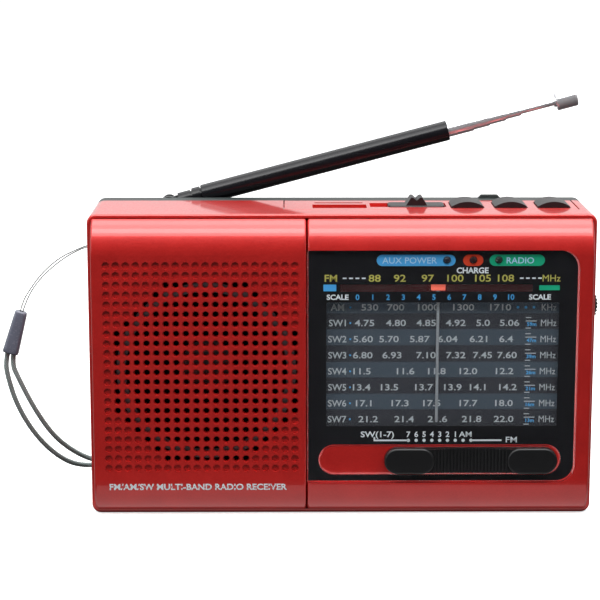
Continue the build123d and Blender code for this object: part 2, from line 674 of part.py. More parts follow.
with BuildPart() as mode_switch:
    with Locations((SLIDER_X - SLIDER_TRAVEL / 2, SLIDER_Y, (BOARD_Z + BOARD_T + 95.6) / 2)):
        Box(14.0, 6.0, 95.6 - BOARD_Z - BOARD_T)
    with Locations((SLIDER_X - SLIDER_TRAVEL / 2, SLIDER_Y, 94.6)):
        Box(SLIDER_TRAVEL + 2.2, 2.0, 2.2, mode=Mode.SUBTRACT)
mode_switch.part.label = "mode_switch"
export_step(mode_switch.part, "parts/mode_switch.step")

# Three push buttons with arched caps, and a tact switch under each.
BUTTON_NAMES = ("button_back", "button_play", "button_next")
CAP_EDGE_Z = 100.4
CAP_TOP_Z = 102.0
for button_name, button_x in zip(BUTTON_NAMES, BUTTON_XS):
    with BuildPart() as button:
        with BuildSketch(y_plane(BUTTON_D / 2)):
            with BuildLine():
                ThreePointArc(
                    (button_x - BUTTON_W / 2, CAP_EDGE_Z),
                    (button_x, CAP_TOP_Z),
                    (button_x + BUTTON_W / 2, CAP_EDGE_Z),
                )
                Polyline(
                    (button_x + BUTTON_W / 2, CAP_EDGE_Z),
                    (button_x + BUTTON_W / 2, 97.0),
                    (button_x - BUTTON_W / 2, 97.0),
                    (button_x - BUTTON_W / 2, CAP_EDGE_Z),
                )
            make_face()
        extrude(amount=BUTTON_D)
        fillet(button.edges().filter_by(Axis.Z), 1.0)
        with Locations((button_x, 0, 97.6)):
            Box(BUTTON_W + 1.2, BUTTON_D + 1.6, 1.4)
        with Locations((button_x, 0, 95.0)):
            Cylinder(1.8, 4.4)
    button.part.label = button_name
    export_step(button.part, "parts/" + button_name + ".step")

with BuildPart() as tact_switches:
    with Locations(*[(x, 0, BOARD_Z + BOARD_T + 2.0) for x in BUTTON_XS]):
        Box(6.0, 6.0, 4.0)
    with Locations(*[(x, 0, BOARD_Z + 6.6) for x in BUTTON_XS]):
        Cylinder(1.7, 2.4)
tact_switches.part.label = "tact_switches"
export_step(tact_switches.part, "parts/tact_switches.step")

with BuildPart() as media_board:
    with Locations((32.0, 0, BOARD_Z + BOARD_T / 2)):
        Box(92.0, 16.0, BOARD_T)
media_board.part.label = "media_board"
export_step(media_board.part, "parts/media_board.step")

# USB-A socket: a folded metal shell round a plastic tongue.
with BuildPart() as usb_socket:
    shell_h = USB_FLOOR_Z - BOARD_Z - BOARD_T
    with Locations((USB_X, USB_Y, USB_FLOOR_Z - shell_h / 2)):
        Box(13.1, 5.7, shell_h)
    with Locations((USB_X, USB_Y, USB_FLOOR_Z - 4.4)):
        Box(12.3, 4.9, 8.8, mode=Mode.SUBTRACT)
    with Locations((USB_X, USB_Y + 1.2, USB_FLOOR_Z - 5.2)):
        Box(11.2, 1.84, 8.4)
usb_socket.part.label = "usb_socket"
export_step(usb_socket.part, "parts/usb_socket.step")

with BuildPart() as card_socket:
    with Locations((CARD_X, CARD_Y, (BOARD_Z + BOARD_T + 97.0) / 2)):
        Box(14.6, 2.4, 97.0 - BOARD_Z - BOARD_T)
    with Locations((CARD_X, CARD_Y, 95.0)):
        Box(11.4, 1.0, 6.0, mode=Mode.SUBTRACT)
card_socket.part.label = "card_socket"
export_step(card_socket.part, "parts/card_socket.step")

# ---- Sockets on the left side --------------------------------------------------

JACK_BORE_R = 1.8
JACK_BORE_L = 14.0

with BuildPart() as phone_jack:
    with Locations((-CASE_W / 2 + 9.5, JACK_Y, JACK_Z)):
        Box(14.8, 8.0, 9.0)
    with Locations((-CASE_W / 2 + 2.5, JACK_Y, JACK_Z)):
        Cylinder(JACK_NOSE_R, 5.0, rotation=(0, 90, 0))
    with Locations((-CASE_W / 2 + JACK_BORE_L / 2, JACK_Y, JACK_Z)):
        Cylinder(JACK_BORE_R, JACK_BORE_L, rotation=(0, 90, 0), mode=Mode.SUBTRACT)
phone_jack.part.label = "phone_jack"
export_step(phone_jack.part, "parts/phone_jack.step")

with BuildPart() as power_socket:
    with Locations((-CASE_W / 2 + 4.5, JACK_Y, POWER_Z)):
        Box(8.4, 3.2, 8.0)
    with Locations((-CASE_W / 2 + 3.0, JACK_Y, POWER_Z)):
        Box(6.0, 2.2, 7.0, mode=Mode.SUBTRACT)
    with Locations((-CASE_W / 2 + 4.2, JACK_Y, POWER_Z)):
        Box(6.0, 0.6, 4.6)
power_socket.part.label = "power_socket"
export_step(power_socket.part, "parts/power_socket.step")

# ---- Electronics ------------------------------------------------------------

with BuildPart() as main_board:
    with Locations((26.5, -6.2, 43.0)):
        Box(73.0, BOARD_T, 78.0)
main_board.part.label = "main_board"
export_step(main_board.part, "parts/main_board.step")

# Screened coils in a row along the board's foot.
COIL_XS = (-2.0, 8.0, 18.0, 58.0)
with BuildPart() as coil_cans:
    with Locations(*[(x, -12.0, 30.0) for x in COIL_XS]):
        Box(7.0, 9.9, 7.0)
coil_cans.part.label = "coil_cans"
export_step(coil_cans.part, "parts/coil_cans.step")

with BuildPart() as receiver_chips:
    with Locations((36.0, -8.3, 40.0), (36.0, -8.3, 60.0)):
        Box(18.0, 2.5, 8.0)
receiver_chips.part.label = "receiver_chips"
export_step(receiver_chips.part, "parts/receiver_chips.step")

FERRITE_Y = 3.0
FERRITE_Z = 8.0
with BuildPart() as ferrite_rod:
    with Locations((-42.0, FERRITE_Y, FERRITE_Z)):
        Cylinder(4.0, 52.0, rotation=(0, 90, 0))
ferrite_rod.part.label = "ferrite_rod"
export_step(ferrite_rod.part, "parts/ferrite_rod.step")

with BuildPart() as ferrite_coil:
    with Locations((-50.0, FERRITE_Y, FERRITE_Z)):
        Cylinder(5.0, 18.0, rotation=(0, 90, 0))
        Cylinder(4.02, 18.0, rotation=(0, 90, 0), mode=Mode.SUBTRACT)
ferrite_coil.part.label = "ferrite_coil"
export_step(ferrite_coil.part, "parts/ferrite_coil.step")

# ---- Battery ------------------------------------------------------------------

BATTERY_Z = 40.0
TRAY_FRONT_Y = 14.0
TRAY_WALL = 1.5

with BuildPart() as battery_tray:
    with Locations((0, (TRAY_FRONT_Y + TRAY_PLATE_Y) / 2, BATTERY_Z)):
        Box(62.0, TRAY_PLATE_Y - TRAY_FRONT_Y, 41.0)
    with Locations((0, (TRAY_FRONT_Y + TRAY_WALL + TRAY_PLATE_Y) / 2, BATTERY_Z)):
        Box(
            62.0 - 2 * TRAY_WALL,
            TRAY_PLATE_Y - TRAY_FRONT_Y - TRAY_WALL,
            41.0 - 2 * TRAY_WALL,
            mode=Mode.SUBTRACT,
        )
battery_tray.part.label = "battery_tray"
export_step(battery_tray.part, "parts/battery_tray.step")

with BuildPart() as battery:
    with Locations((0, 18.4, BATTERY_Z)):
        Box(53.0, 5.6, 34.0)
    fillet(battery.edges().filter_by(Axis.Z), 2.4)
battery.part.label = "battery"
export_step(battery.part, "parts/battery.step")

with BuildPart() as battery_contacts:
    with Locations((28.0, 18.2, 34.0), (28.0, 18.2, 40.0), (28.0, 18.2, 46.0)):
        Box(2.4, 4.0, 2.0)
battery_contacts.part.label = "battery_contacts"
export_step(battery_contacts.part, "parts/battery_contacts.step")

# Battery door, flush with the back, sliding down out of its recess.
with BuildPart() as battery_door:
    with Locations((0, (DOOR_FRONT_Y + BACK_Y) / 2, DOOR_H / 2 + 0.1)):
        Box(DOOR_W, BACK_Y - DOOR_FRONT_Y, DOOR_H - 0.2)
    fillet(battery_door.faces().sort_by(Axis.Y)[-1].edges(), 0.3)
    with Locations(*[(0, BACK_Y, 50.0 + 1.8 * rib) for rib in range(5)]):
        Box(14.0, 0.8, 0.8, mode=Mode.SUBTRACT)
battery_door.part.label = "battery_door"
export_step(battery_door.part, "parts/battery_door.step")

# ---- Telescopic aerial ------------------------------------------------------------

px, py, pz = PIVOT

# Fork that turns on the ledge and carries the mast's hinge; its round plan clears the ledge's wall.
with BuildPart() as aerial_base:
    with Locations((px, py, LEDGE_Z + 0.15 + 1.9)):
        Box(5.6, FORK_W, 3.8)
    with Locations(PIVOT):
        Cylinder(2.8, FORK_W, rotation=(90, 0, 0))
        Cylinder(FORK_PLAN_R, 14.0, mode=Mode.INTERSECT)
        Box(8.0, 2.7, 5.4, mode=Mode.SUBTRACT)
    with Locations((px, py, pz + 3.0)):
        Box(8.0, 2.7, 6.0, mode=Mode.SUBTRACT)
    with Locations(PIVOT):
        Cylinder(HINGE_PIN_R, FORK_W, rotation=(90, 0, 0), mode=Mode.SUBTRACT)
    with Locations((px, py, LEDGE_Z - 1.6)):
        Cylinder(SWIVEL_R, 4.0)
    with Locations((px, py, 90.6)):
        Cylinder(1.6, 1.4)
aerial_base.part.label = "aerial_base"
export_step(aerial_base.part, "parts/aerial_base.step")

with BuildPart() as hinge_pin:
    with Locations(PIVOT):
        Cylinder(HINGE_PIN_R, FORK_W, rotation=(90, 0, 0))
hinge_pin.part.label = "hinge_pin"
export_step(hinge_pin.part, "parts/hinge_pin.step")

mast_dir = Vector(cos(radians(MAST_TILT)), 0, sin(radians(MAST_TILT)))


def mast_plane(reach):
    """A plane across the mast, at a distance from the pivot."""
    return Plane(origin=Vector(*PIVOT) + mast_dir * reach, x_dir=(0, 1, 0), z_dir=mast_dir)


def mast_tube(start, end, outer_r, bore_r=0.0):
    """A round length of the mast, with a bore if one is given."""
    with BuildSketch(mast_plane(start)) as ring:
        Circle(outer_r)
        if bore_r > 0:
            Circle(bore_r, mode=Mode.SUBTRACT)
    extrude(ring.sketch, amount=end - start)


# Mast root: an eye on the hinge pin, then a collar and a ring.
with BuildPart() as aerial_root:
    with Locations(PIVOT):
        Cylinder(2.3, 2.4, rotation=(90, 0, 0))
    with BuildSketch(mast_plane(0.0)):
        Rectangle(2.4, 4.0)
    extrude(amount=4.0)
    mast_tube(3.6, 8.0, 2.75)
    mast_tube(8.0, 8.6, 2.3)
    mast_tube(8.6, 11.4, 3.1)
    mast_tube(11.4, ROOT_END, 2.4)
    with Locations(PIVOT):
        Cylinder(0.86, 3.0, rotation=(90, 0, 0), mode=Mode.SUBTRACT)
aerial_root.part.label = "aerial_root"
export_step(aerial_root.part, "parts/aerial_root.step")

# Black outer mast.
with BuildPart() as aerial_mast:
    mast_tube(MAST_START, MAST_END, MAST_R, MAST_BORE_R)
    rim_edges = aerial_mast.edges().filter_by(GeomType.CIRCLE).sort_by(Axis.X)
    fillet(rim_edges.filter_by(lambda e: e.radius > MAST_R - 0.1), 0.35)
aerial_mast.part.label = "aerial_mast"
export_step(aerial_mast.part, "parts/aerial_mast.step")


def inner_end(reach):
    """Where a stage starts inside the mast: closed to the mast's end, it stops just clear of the root."""
    return ROOT_END + ROOT_CLEAR + reach - MAST_END


# Chrome stages, each sliding in the one before it.
for stage, (outer_r, bore_r, reach) in enumerate(STAGES, start=1):
    stage_name = "aerial_stage_" + str(stage)
    with BuildPart() as aerial_stage:
        mast_tube(inner_end(reach), reach, outer_r, bore_r)
    aerial_stage.part.label = stage_name
    export_step(aerial_stage.part, "parts/" + stage_name + ".step")

with BuildPart() as aerial_tip:
    mast_tube(inner_end(TIP_START), TIP_START + 1.0, ROD_R)
    mast_tube(TIP_START - 0.8, TIP_START, 1.6)
    mast_tube(TIP_START, TIP_END, TIP_R)
    tip_rims = aerial_tip.edges().filter_by(GeomType.CIRCLE).filter_by(lambda e: e.radius > TIP_R - 0.1)
    fillet(tip_rims, 0.5)
aerial_tip.part.label = "aerial_tip"
export_step(aerial_tip.part, "parts/aerial_tip.step")

# Rest for the folded mast: a small tab that stands on the ledge's front wall.
with BuildPart() as aerial_rest:
    with BuildSketch(y_plane(LEDGE_Y - 0.2)):
        with BuildLine():
            Polyline(
                (47.2, CASE_H), (54.9, CASE_H), (53.8, 101.1), (48.3, 101.1), close=True
            )
        make_face()
    extrude(amount=2.2)
aerial_rest.part.label = "aerial_rest"
export_step(aerial_rest.part, "parts/aerial_rest.step")

# ---- Wrist strap ------------------------------------------------------------

# Lug on the left side: two posts and a bar.
with BuildPart() as strap_lug:
    with Locations((LUG_X, LUG_Y, LUG_Z)):
        Cylinder(LUG_BAR_R, 5.4)
    post_x = LUG_X / 2 - CASE_W / 4
    for post_z in (LUG_Z - LUG_POST_DZ, LUG_Z + LUG_POST_DZ):
        with Locations((post_x, LUG_Y, post_z)):
            Box(-LUG_X - CASE_W / 2, 1.8, LUG_POST_T)
        with Locations((LUG_X, LUG_Y, post_z)):
            Cylinder(0.9, LUG_POST_T)
strap_lug.part.label = "strap_lug"
export_step(strap_lug.part, "parts/strap_lug.step")

barrel_dir = (BARREL_END - BARREL_TOP).normalized()
barrel_len = (BARREL_END - BARREL_TOP).length
barrel_side = Vector(-barrel_dir.Z, 0, barrel_dir.X)


def barrel_plane(depth):
    """A plane across the strap's barrel, at a distance from its upper end."""
    return Plane(origin=BARREL_TOP + barrel_dir * depth, x_dir=barrel_side, z_dir=barrel_dir)


# Tapered plastic barrel that joins the thin string to the braided strap.
with BuildPart() as strap_barrel:
    with BuildSketch(barrel_plane(0.0)):
        RectangleRounded(4.2, 3.6, 1.3)
    with BuildSketch(barrel_plane(barrel_len)):
        RectangleRounded(5.6, 4.6, 1.5)
    loft()
    with BuildSketch(barrel_plane(0.0)):
        Circle(0.95)
    extrude(amount=4.0, mode=Mode.SUBTRACT)
    with BuildSketch(barrel_plane(barrel_len)):
        SlotOverall(4.1, 2.2)
    extrude(amount=-4.0, mode=Mode.SUBTRACT)
strap_barrel.part.label = "strap_barrel"
export_step(strap_barrel.part, "parts/strap_barrel.step")

string_in = BARREL_TOP + barrel_dir * 3.0
STRING_ROUTE = [
    string_in + barrel_side * 0.35,
    BARREL_TOP - barrel_dir * 3.0 + barrel_side * 0.5,
    Vector(-104.0, 12.9, 70.6),
    Vector(-99.0, 13.6, 75.9),
    Vector(-93.4, 14.2, 80.2),
    Vector(-88.6, 14.5, 82.7),
    Vector(-86.2, 14.45, 83.6),
    Vector(-83.55, 14.45, 84.0),
    Vector(-83.55, 16.55, 84.0),
    Vector(-86.2, 16.55, 83.8),
    Vector(-89.2, 16.0, 82.7),
    Vector(-95.4, 15.0, 79.9),
    Vector(-101.5, 13.7, 74.8),
    Vector(-106.0, 12.6, 68.6),
    BARREL_TOP - barrel_dir * 3.0 - barrel_side * 0.5,
    string_in - barrel_side * 0.35,
]

strap_in = BARREL_END - barrel_dir * 3.0
FLOOR_Z = STRAP_D / 2 + 0.05
STRAP_ROUTE = [
    strap_in + barrel_side * 0.95,
    BARREL_END + barrel_dir * 3.0 + barrel_side * 1.05,
    Vector(-110.1, 12.8, 37.8),
    Vector(-105.6, 15.0, 27.2),
    Vector(-99.8, 19.0, 16.4),
    Vector(-93.7, 24.0, 9.4),
    Vector(-87.6, 29.0, 4.7),
    Vector(-79.0, 32.0, 2.0),
    Vector(-67.0, 32.4, FLOOR_Z),
    Vector(-55.0, 31.9, FLOOR_Z),
    Vector(-46.0, 31.2, FLOOR_Z),
    Vector(-41.5, 32.8, FLOOR_Z),
    Vector(-39.1, 37.0, FLOOR_Z),
    Vector(-39.9, 41.7, FLOOR_Z),
    Vector(-43.6, 44.8, FLOOR_Z),
    Vector(-48.4, 44.7, FLOOR_Z),
    Vector(-57.0, 43.4, FLOOR_Z),
    Vector(-68.0, 41.2, FLOOR_Z),
    Vector(-79.0, 38.0, FLOOR_Z),
    Vector(-88.0, 33.6, FLOOR_Z + 0.2),
    Vector(-94.6, 28.4, 3.4),
    Vector(-101.0, 22.8, 9.6),
    Vector(-107.0, 18.4, 18.4),
    Vector(-111.6, 15.0, 28.8),
    Vector(-113.9, 12.8, 38.6),
    BARREL_END + barrel_dir * 3.0 - barrel_side * 1.05,
    strap_in - barrel_side * 0.95,
]


def arc_radii(points):
    """Each corner's radius: 0.45 of the shorter run over the tangent of half the turn."""
    radii = []
    for before, corner, after in zip(points, points[1:], points[2:]):
        run_in = corner - before
        run_out = after - corner
        turn = radians(run_in.get_angle(run_out))
        radii.append(0.45 * min(run_in.length, run_out.length) / tan(turn / 2))
    return radii


def cord_tube(points, diameter):
    """Straight runs joined by tangent arcs, with a round section; returns the line's length."""
    radii = arc_radii(points)
    with BuildLine() as route:
        FilletPolyline(*points, radius=radii)
    with BuildSketch(Plane(origin=points[0], z_dir=points[1] - points[0])) as section:
        Circle(diameter / 2)
    sweep(section.sketch, path=route.wires()[0])
    print("radii", [round(r, 1) for r in radii])
    return sum(edge.length for edge in route.edges())


with BuildPart() as wrist_string:
    string_length = cord_tube(STRING_ROUTE, STRING_D)
wrist_string.part.label = "wrist_string"
export_step(wrist_string.part, "parts/wrist_string.step")

with BuildPart() as wrist_strap:
    strap_length = cord_tube(STRAP_ROUTE, STRAP_D)
wrist_strap.part.label = "wrist_strap"
export_step(wrist_strap.part, "parts/wrist_strap.step")

for cord, length, diameter in ((wrist_string, string_length, STRING_D), (wrist_strap, strap_length, STRAP_D)):
    expected = length * pi * diameter**2 / 4
    print(cord.part.label, "length", round(length, 1), "volume ratio", round(cord.part.volume / expected, 4))
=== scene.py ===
# %% [markdown]
# # A pocket shortwave receiver
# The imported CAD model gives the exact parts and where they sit. This lesson dresses them: studio,
# cords, finishes, and the printed dial. All lengths are metres, so a millimetre is written 1 * MM.

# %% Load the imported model
import json
import math

import bpy
import numpy as np
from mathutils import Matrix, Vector

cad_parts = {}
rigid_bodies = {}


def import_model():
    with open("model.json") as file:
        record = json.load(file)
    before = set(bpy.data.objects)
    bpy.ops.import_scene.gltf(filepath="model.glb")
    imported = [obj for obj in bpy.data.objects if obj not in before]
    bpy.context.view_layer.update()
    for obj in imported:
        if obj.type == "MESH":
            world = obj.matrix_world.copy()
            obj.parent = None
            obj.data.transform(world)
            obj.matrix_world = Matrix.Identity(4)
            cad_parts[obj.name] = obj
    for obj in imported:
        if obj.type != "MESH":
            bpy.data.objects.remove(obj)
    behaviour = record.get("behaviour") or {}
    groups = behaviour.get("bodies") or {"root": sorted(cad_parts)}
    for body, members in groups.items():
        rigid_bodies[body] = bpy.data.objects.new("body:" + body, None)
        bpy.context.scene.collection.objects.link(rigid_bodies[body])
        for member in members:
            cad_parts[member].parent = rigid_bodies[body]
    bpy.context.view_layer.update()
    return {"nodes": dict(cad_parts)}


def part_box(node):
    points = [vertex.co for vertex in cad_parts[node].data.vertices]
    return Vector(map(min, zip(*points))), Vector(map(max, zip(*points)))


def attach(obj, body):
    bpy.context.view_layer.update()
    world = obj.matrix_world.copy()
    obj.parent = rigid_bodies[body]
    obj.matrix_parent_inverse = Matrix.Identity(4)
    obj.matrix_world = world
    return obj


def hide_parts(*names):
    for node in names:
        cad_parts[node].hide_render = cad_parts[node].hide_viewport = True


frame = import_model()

MM = 0.001

# %% [markdown]
# ## Camera
# A long lens from a little above eye level keeps the case's edges nearly parallel, as a catalogue
# picture does. The position is set as given numbers rather than by tracking, so that it never drifts.

# %% Camera
CAMERA_PITCH = 11.01
CAMERA_YAW = 0.352
CAMERA_PLACE = (-0.0175, -0.6525, 0.1949)
SENSOR_MM, LENS_MM = 36.0, 118.98
camera_data = bpy.data.cameras.new("camera")
camera_data.sensor_width = SENSOR_MM
camera_data.lens = LENS_MM
camera = bpy.data.objects.new("camera", camera_data)
camera.location = CAMERA_PLACE
camera.rotation_euler = (math.radians(90.0 - CAMERA_PITCH), 0.0, math.radians(-CAMERA_YAW))
bpy.context.scene.collection.objects.link(camera)
bpy.context.scene.camera = camera
bpy.context.scene.view_settings.view_transform = "Standard"
print("camera looks down by", CAMERA_PITCH, "degrees")

# %% [markdown]
# ## Colours and nodes
# Colours are picked as sRGB hex codes, but shaders add light up in linear values, so one function
# converts them. Every material is then wired with one helper that adds a node.


# %% Helpers for colours and nodes
def paint(code):
    """Linear RGBA of an sRGB hex code: c / 12.92 below 0.04045, else ((c + 0.055) / 1.055) ^ 2.4."""
    channels = np.array([int(code[i : i + 2], 16) / 255 for i in (1, 3, 5)])
    low = channels / 12.92
    high = ((channels + 0.055) / 1.055) ** 2.4
    return (*np.where(channels <= 0.04045, low, high).tolist(), 1.0)


def add(tree, kind, links=None, **settings):
    """Adds one node: settings are its properties, links its inputs, each a value or an output."""
    node = tree.nodes.new(kind)
    for key, value in settings.items():
        setattr(node, key, value)
    for socket, value in (links or {}).items():
        if isinstance(value, bpy.types.NodeSocket):
            tree.links.new(value, node.inputs[socket])
        else:
            node.inputs[socket].default_value = value
    return node


def new_material(name):
    """A material with only its Principled shader and output; returns it, its tree and shader."""
    material = bpy.data.materials.new(name)
    material.use_nodes = True
    return material, material.node_tree, material.node_tree.nodes["Principled BSDF"]


# %% [markdown]
# ## Floor
# The floor is one large pale sheet of matt paint that glows a little. It is hidden from
# reflections and from bounced light, so it neither shows in the gloss nor tints the radio.

# %% Floor
FLOOR_HALF = 7.0
FLOOR_GLOW = 0.55
floor_mesh = bpy.data.meshes.new("floor")
corners = [(x * FLOOR_HALF, y * FLOOR_HALF, 0.0) for x, y in ((-1, -1), (1, -1), (1, 1), (-1, 1))]
floor_mesh.from_pydata(corners, [], [(0, 1, 2, 3)])
floor = bpy.data.objects.new("floor", floor_mesh)
bpy.context.scene.collection.objects.link(floor)
floor.visible_glossy = False
floor.visible_diffuse = False

floor_paint, tree, shader = new_material("matt_white_paint")
place = add(tree, "ShaderNodeTexCoord").outputs["Object"]
mottle = add(tree, "ShaderNodeTexNoise", {"Vector": place, "Scale": 1 / (40 * MM), "Detail": 2.0})
tone = add(tree, "ShaderNodeMapRange", {"Value": mottle.outputs["Fac"], "To Min": 0.80, "To Max": 0.9})
tree.links.new(tone.outputs["Result"], shader.inputs["Roughness"])
shader.inputs["Base Color"].default_value = paint("#f6f6f6")
shader.inputs["Specular IOR Level"].default_value = 0.1
shader.inputs["Emission Color"].default_value = (1.0, 1.0, 1.0, 1.0)
shader.inputs["Emission Strength"].default_value = FLOOR_GLOW
floor_mesh.materials.append(floor_paint)

# %% [markdown]
# ## Studio light
# A softbox hangs close above the front edge, so that the panels fade from bright at the top to
# deep red at the bottom, and shows as the band on the crown. The sky is white behind the set and
# dark in front, which keeps the glossy dial black. A high box in front fills the panels, and a thin
# strip on the floor lights the crown's lower edge.


# %% Softboxes
def softbox(name, place, aim, size, radiance):
    """A rectangular lamp at place, facing aim; its power is radiance x pi x its area."""
    lamp = bpy.data.lights.new(name, "AREA")
    lamp.shape = "RECTANGLE"
    lamp.size, lamp.size_y = size
    lamp.energy = radiance * math.pi * size[0] * size[1]
    holder = bpy.data.objects.new(name, lamp)
    holder.location = place
    toward = Vector(aim) - Vector(place)
    holder.rotation_euler = toward.to_track_quat("-Z", "Y").to_euler()
    holder.visible_camera = False
    bpy.context.scene.collection.objects.link(holder)
    print(name, "gives", round(lamp.energy, 2), "W")


softbox("crown_box", (0.0, -0.125, 0.36), (0.0, -0.1249, 0.0), (0.62, 0.21), 3.8)
softbox("front_box", (0.0, -0.78, 1.15), (0.0, 0.0, 0.05), (1.7, 0.5), 3.8)
softbox("sky_box", (0.0, 0.9, 2.2), (0.0, 0.4, 0.0), (3.0, 3.0), 1.6)
softbox("left_strip", (-0.62, -0.25, 0.30), (0.0, 0.0, 0.06), (0.16, 0.5), 3.4)
softbox("right_strip", (0.62, -0.25, 0.30), (0.0, 0.0, 0.06), (0.16, 0.5), 1.2)
softbox("under_strip", (0.0, -0.0335, 0.0005), (0.0, -0.0334, 0.5), (0.18, 0.025), 0.6)

world = bpy.data.worlds.new("studio")
bpy.context.scene.world = world
world.use_nodes = True
tree = world.node_tree
sky_way = add(tree, "ShaderNodeTexCoord").outputs["Generated"]
lean = add(
    tree, "ShaderNodeVectorMath", {0: sky_way, 1: (0.0, 0.7, 0.5)}, operation="DOT_PRODUCT"
)
glow = add(
    tree,
    "ShaderNodeMapRange",
    {"Value": lean.outputs["Value"], "From Min": 0.0, "From Max": 0.7, "To Min": 0.07, "To Max": 0.85},
    interpolation_type="SMOOTHSTEP",
)
tree.links.new(glow.outputs["Result"], tree.nodes["Background"].inputs["Strength"])
tree.nodes["Background"].inputs["Color"].default_value = (1.0, 1.0, 1.0, 1.0)

# %% [markdown]
# ## Surfaces from rings
# Most added pieces are skins: a stack of closed rings, given as one numpy array, is joined with
# quads and capped with a fan at each end. Working on whole arrays keeps it fast and exact.


# %% Ring skins
def superellipse(half_a, half_b, count, power=2.0):
    """Points a |cos t|^(2/p) sign cos t, b |sin t|^(2/p) sign sin t for t round a full turn."""
    t = np.linspace(0.0, 2 * np.pi, count, endpoint=False)
    c, s = np.cos(t), np.sin(t)
    bend = 2.0 / power
    return np.stack([half_a * np.sign(c) * np.abs(c) ** bend, half_b * np.sign(s) * np.abs(s) ** bend], 1)


def show(mesh, name, material, body="case"):
    """Puts a finished mesh in the scene, at the origin, on a body, with its material."""
    piece = bpy.data.objects.new(name, mesh)
    bpy.context.scene.collection.objects.link(piece)
    mesh.materials.append(material)
    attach(piece, body)
    return piece


def skin(name, rings, uv=None):
    """A closed mesh over rings[k, n, xyz]: quads between neighbours, and a fan to each end's centre."""
    levels, around = rings.shape[:2]
    points = np.concatenate([rings.reshape(-1, 3), rings[[0, -1]].mean(axis=1)])
    k, n = np.meshgrid(np.arange(levels - 1), np.arange(around), indexing="ij")
    ahead = (n + 1) % around
    quads = np.stack([k * around + n, k * around + ahead, (k + 1) * around + ahead, (k + 1) * around + n], -1)
    quads = quads.reshape(-1, 4)
    rim = np.arange(around)
    after = (rim + 1) % around
    first = np.stack([after, rim, np.full(around, levels * around)], -1)
    top = (levels - 1) * around
    last = np.stack([top + rim, top + after, np.full(around, levels * around + 1)], -1)
    a, b, c, d = (points[quads[:, i]] for i in range(4))
    volume = np.einsum("ij,ij->", a, np.cross(b, c)) + np.einsum("ij,ij->", a, np.cross(c, d))
    if volume < 0:
        quads, first, last = quads[:, ::-1], first[:, ::-1], last[:, ::-1]
    mesh = bpy.data.meshes.new(name)
    mesh.from_pydata(points.tolist(), [], quads.tolist() + first.tolist() + last.tolist())
    mesh.polygons.foreach_set("use_smooth", np.ones(len(mesh.polygons), dtype=bool))
    if uv is not None:
        corner = np.empty(len(mesh.loops), dtype=np.int64)
        mesh.loops.foreach_get("vertex_index", corner)
        table = np.concatenate([uv.reshape(-1, 2), np.zeros((2, 2))])[corner]
        mesh.uv_layers.new(name="along").data.foreach_set("uv", table.ravel())
    mesh.update()
    return mesh


# %% [markdown]
# ## Wrist strap
# The strap is a limp nylon braid, its ends crimped in a plastic barrel, and a thin twisted string
# ties the barrel to the case's lug. Each follows one NURBS line steered by listed points; the
# yarn is real relief on the tube, because it catches light that a flat pattern would not.

# %% Cord routes
BARREL_TOP = np.array([-108.5, 12.0, 61.9])
BARREL_END = np.array([-112.7, 12.0, 47.2])
barrel_way = (BARREL_END - BARREL_TOP) / np.linalg.norm(BARREL_END - BARREL_TOP)
barrel_side = np.array([-barrel_way[2], 0.0, barrel_way[0]])
STRING_D = 0.4 * MM
STRAP_D = 1.8 * MM
FLOOR_Z = 0.95
string_in = BARREL_TOP + barrel_way * 3.0
strap_in = BARREL_END - barrel_way * 3.0
STRING_ROUTE = [
    string_in + barrel_side * 0.35,
    BARREL_TOP - barrel_way * 3.0 + barrel_side * 0.5,
    (-104.0, 12.9, 70.6),
    (-99.0, 13.6, 75.9),
    (-93.4, 14.2, 80.2),
    (-88.6, 14.5, 82.7),
    (-86.2, 14.45, 83.6),
    (-83.55, 14.45, 84.0),
    (-83.55, 16.55, 84.0),
    (-86.2, 16.55, 83.8),
    (-89.2, 16.0, 82.7),
    (-95.4, 15.0, 79.9),
    (-101.5, 13.7, 74.8),
    (-106.0, 12.6, 68.6),
    BARREL_TOP - barrel_way * 3.0 - barrel_side * 0.5,
    string_in - barrel_side * 0.35,
]
STRAP_ROUTE = [
    strap_in + barrel_side * 0.95,
    BARREL_END + barrel_way * 3.0 + barrel_side * 1.05,
    (-110.1, 12.8, 37.8),
    (-105.6, 15.0, 27.2),
    (-99.8, 19.0, 16.4),
    (-93.7, 24.0, 9.4),
    (-87.6, 29.0, 4.7),
    (-79.0, 32.0, 2.0),
    (-67.0, 32.4, FLOOR_Z),
    (-55.0, 31.9, FLOOR_Z),
    (-46.0, 31.2, FLOOR_Z),
    (-41.5, 32.8, FLOOR_Z),
    (-39.1, 37.0, FLOOR_Z),
    (-39.9, 41.7, FLOOR_Z),
    (-43.6, 44.8, FLOOR_Z),
    (-48.4, 44.7, FLOOR_Z),
    (-57.0, 43.4, FLOOR_Z),
    (-68.0, 41.2, FLOOR_Z),
    (-79.0, 38.0, FLOOR_Z),
    (-88.0, 33.6, FLOOR_Z + 0.2),
    (-94.6, 28.4, 3.4),
    (-101.0, 22.8, 9.6),
    (-107.0, 18.4, 18.4),
    (-111.6, 15.0, 28.8),
    (-113.9, 12.8, 38.6),
    BARREL_END + barrel_way * 3.0 - barrel_side * 1.05,
    strap_in - barrel_side * 0.95,
]


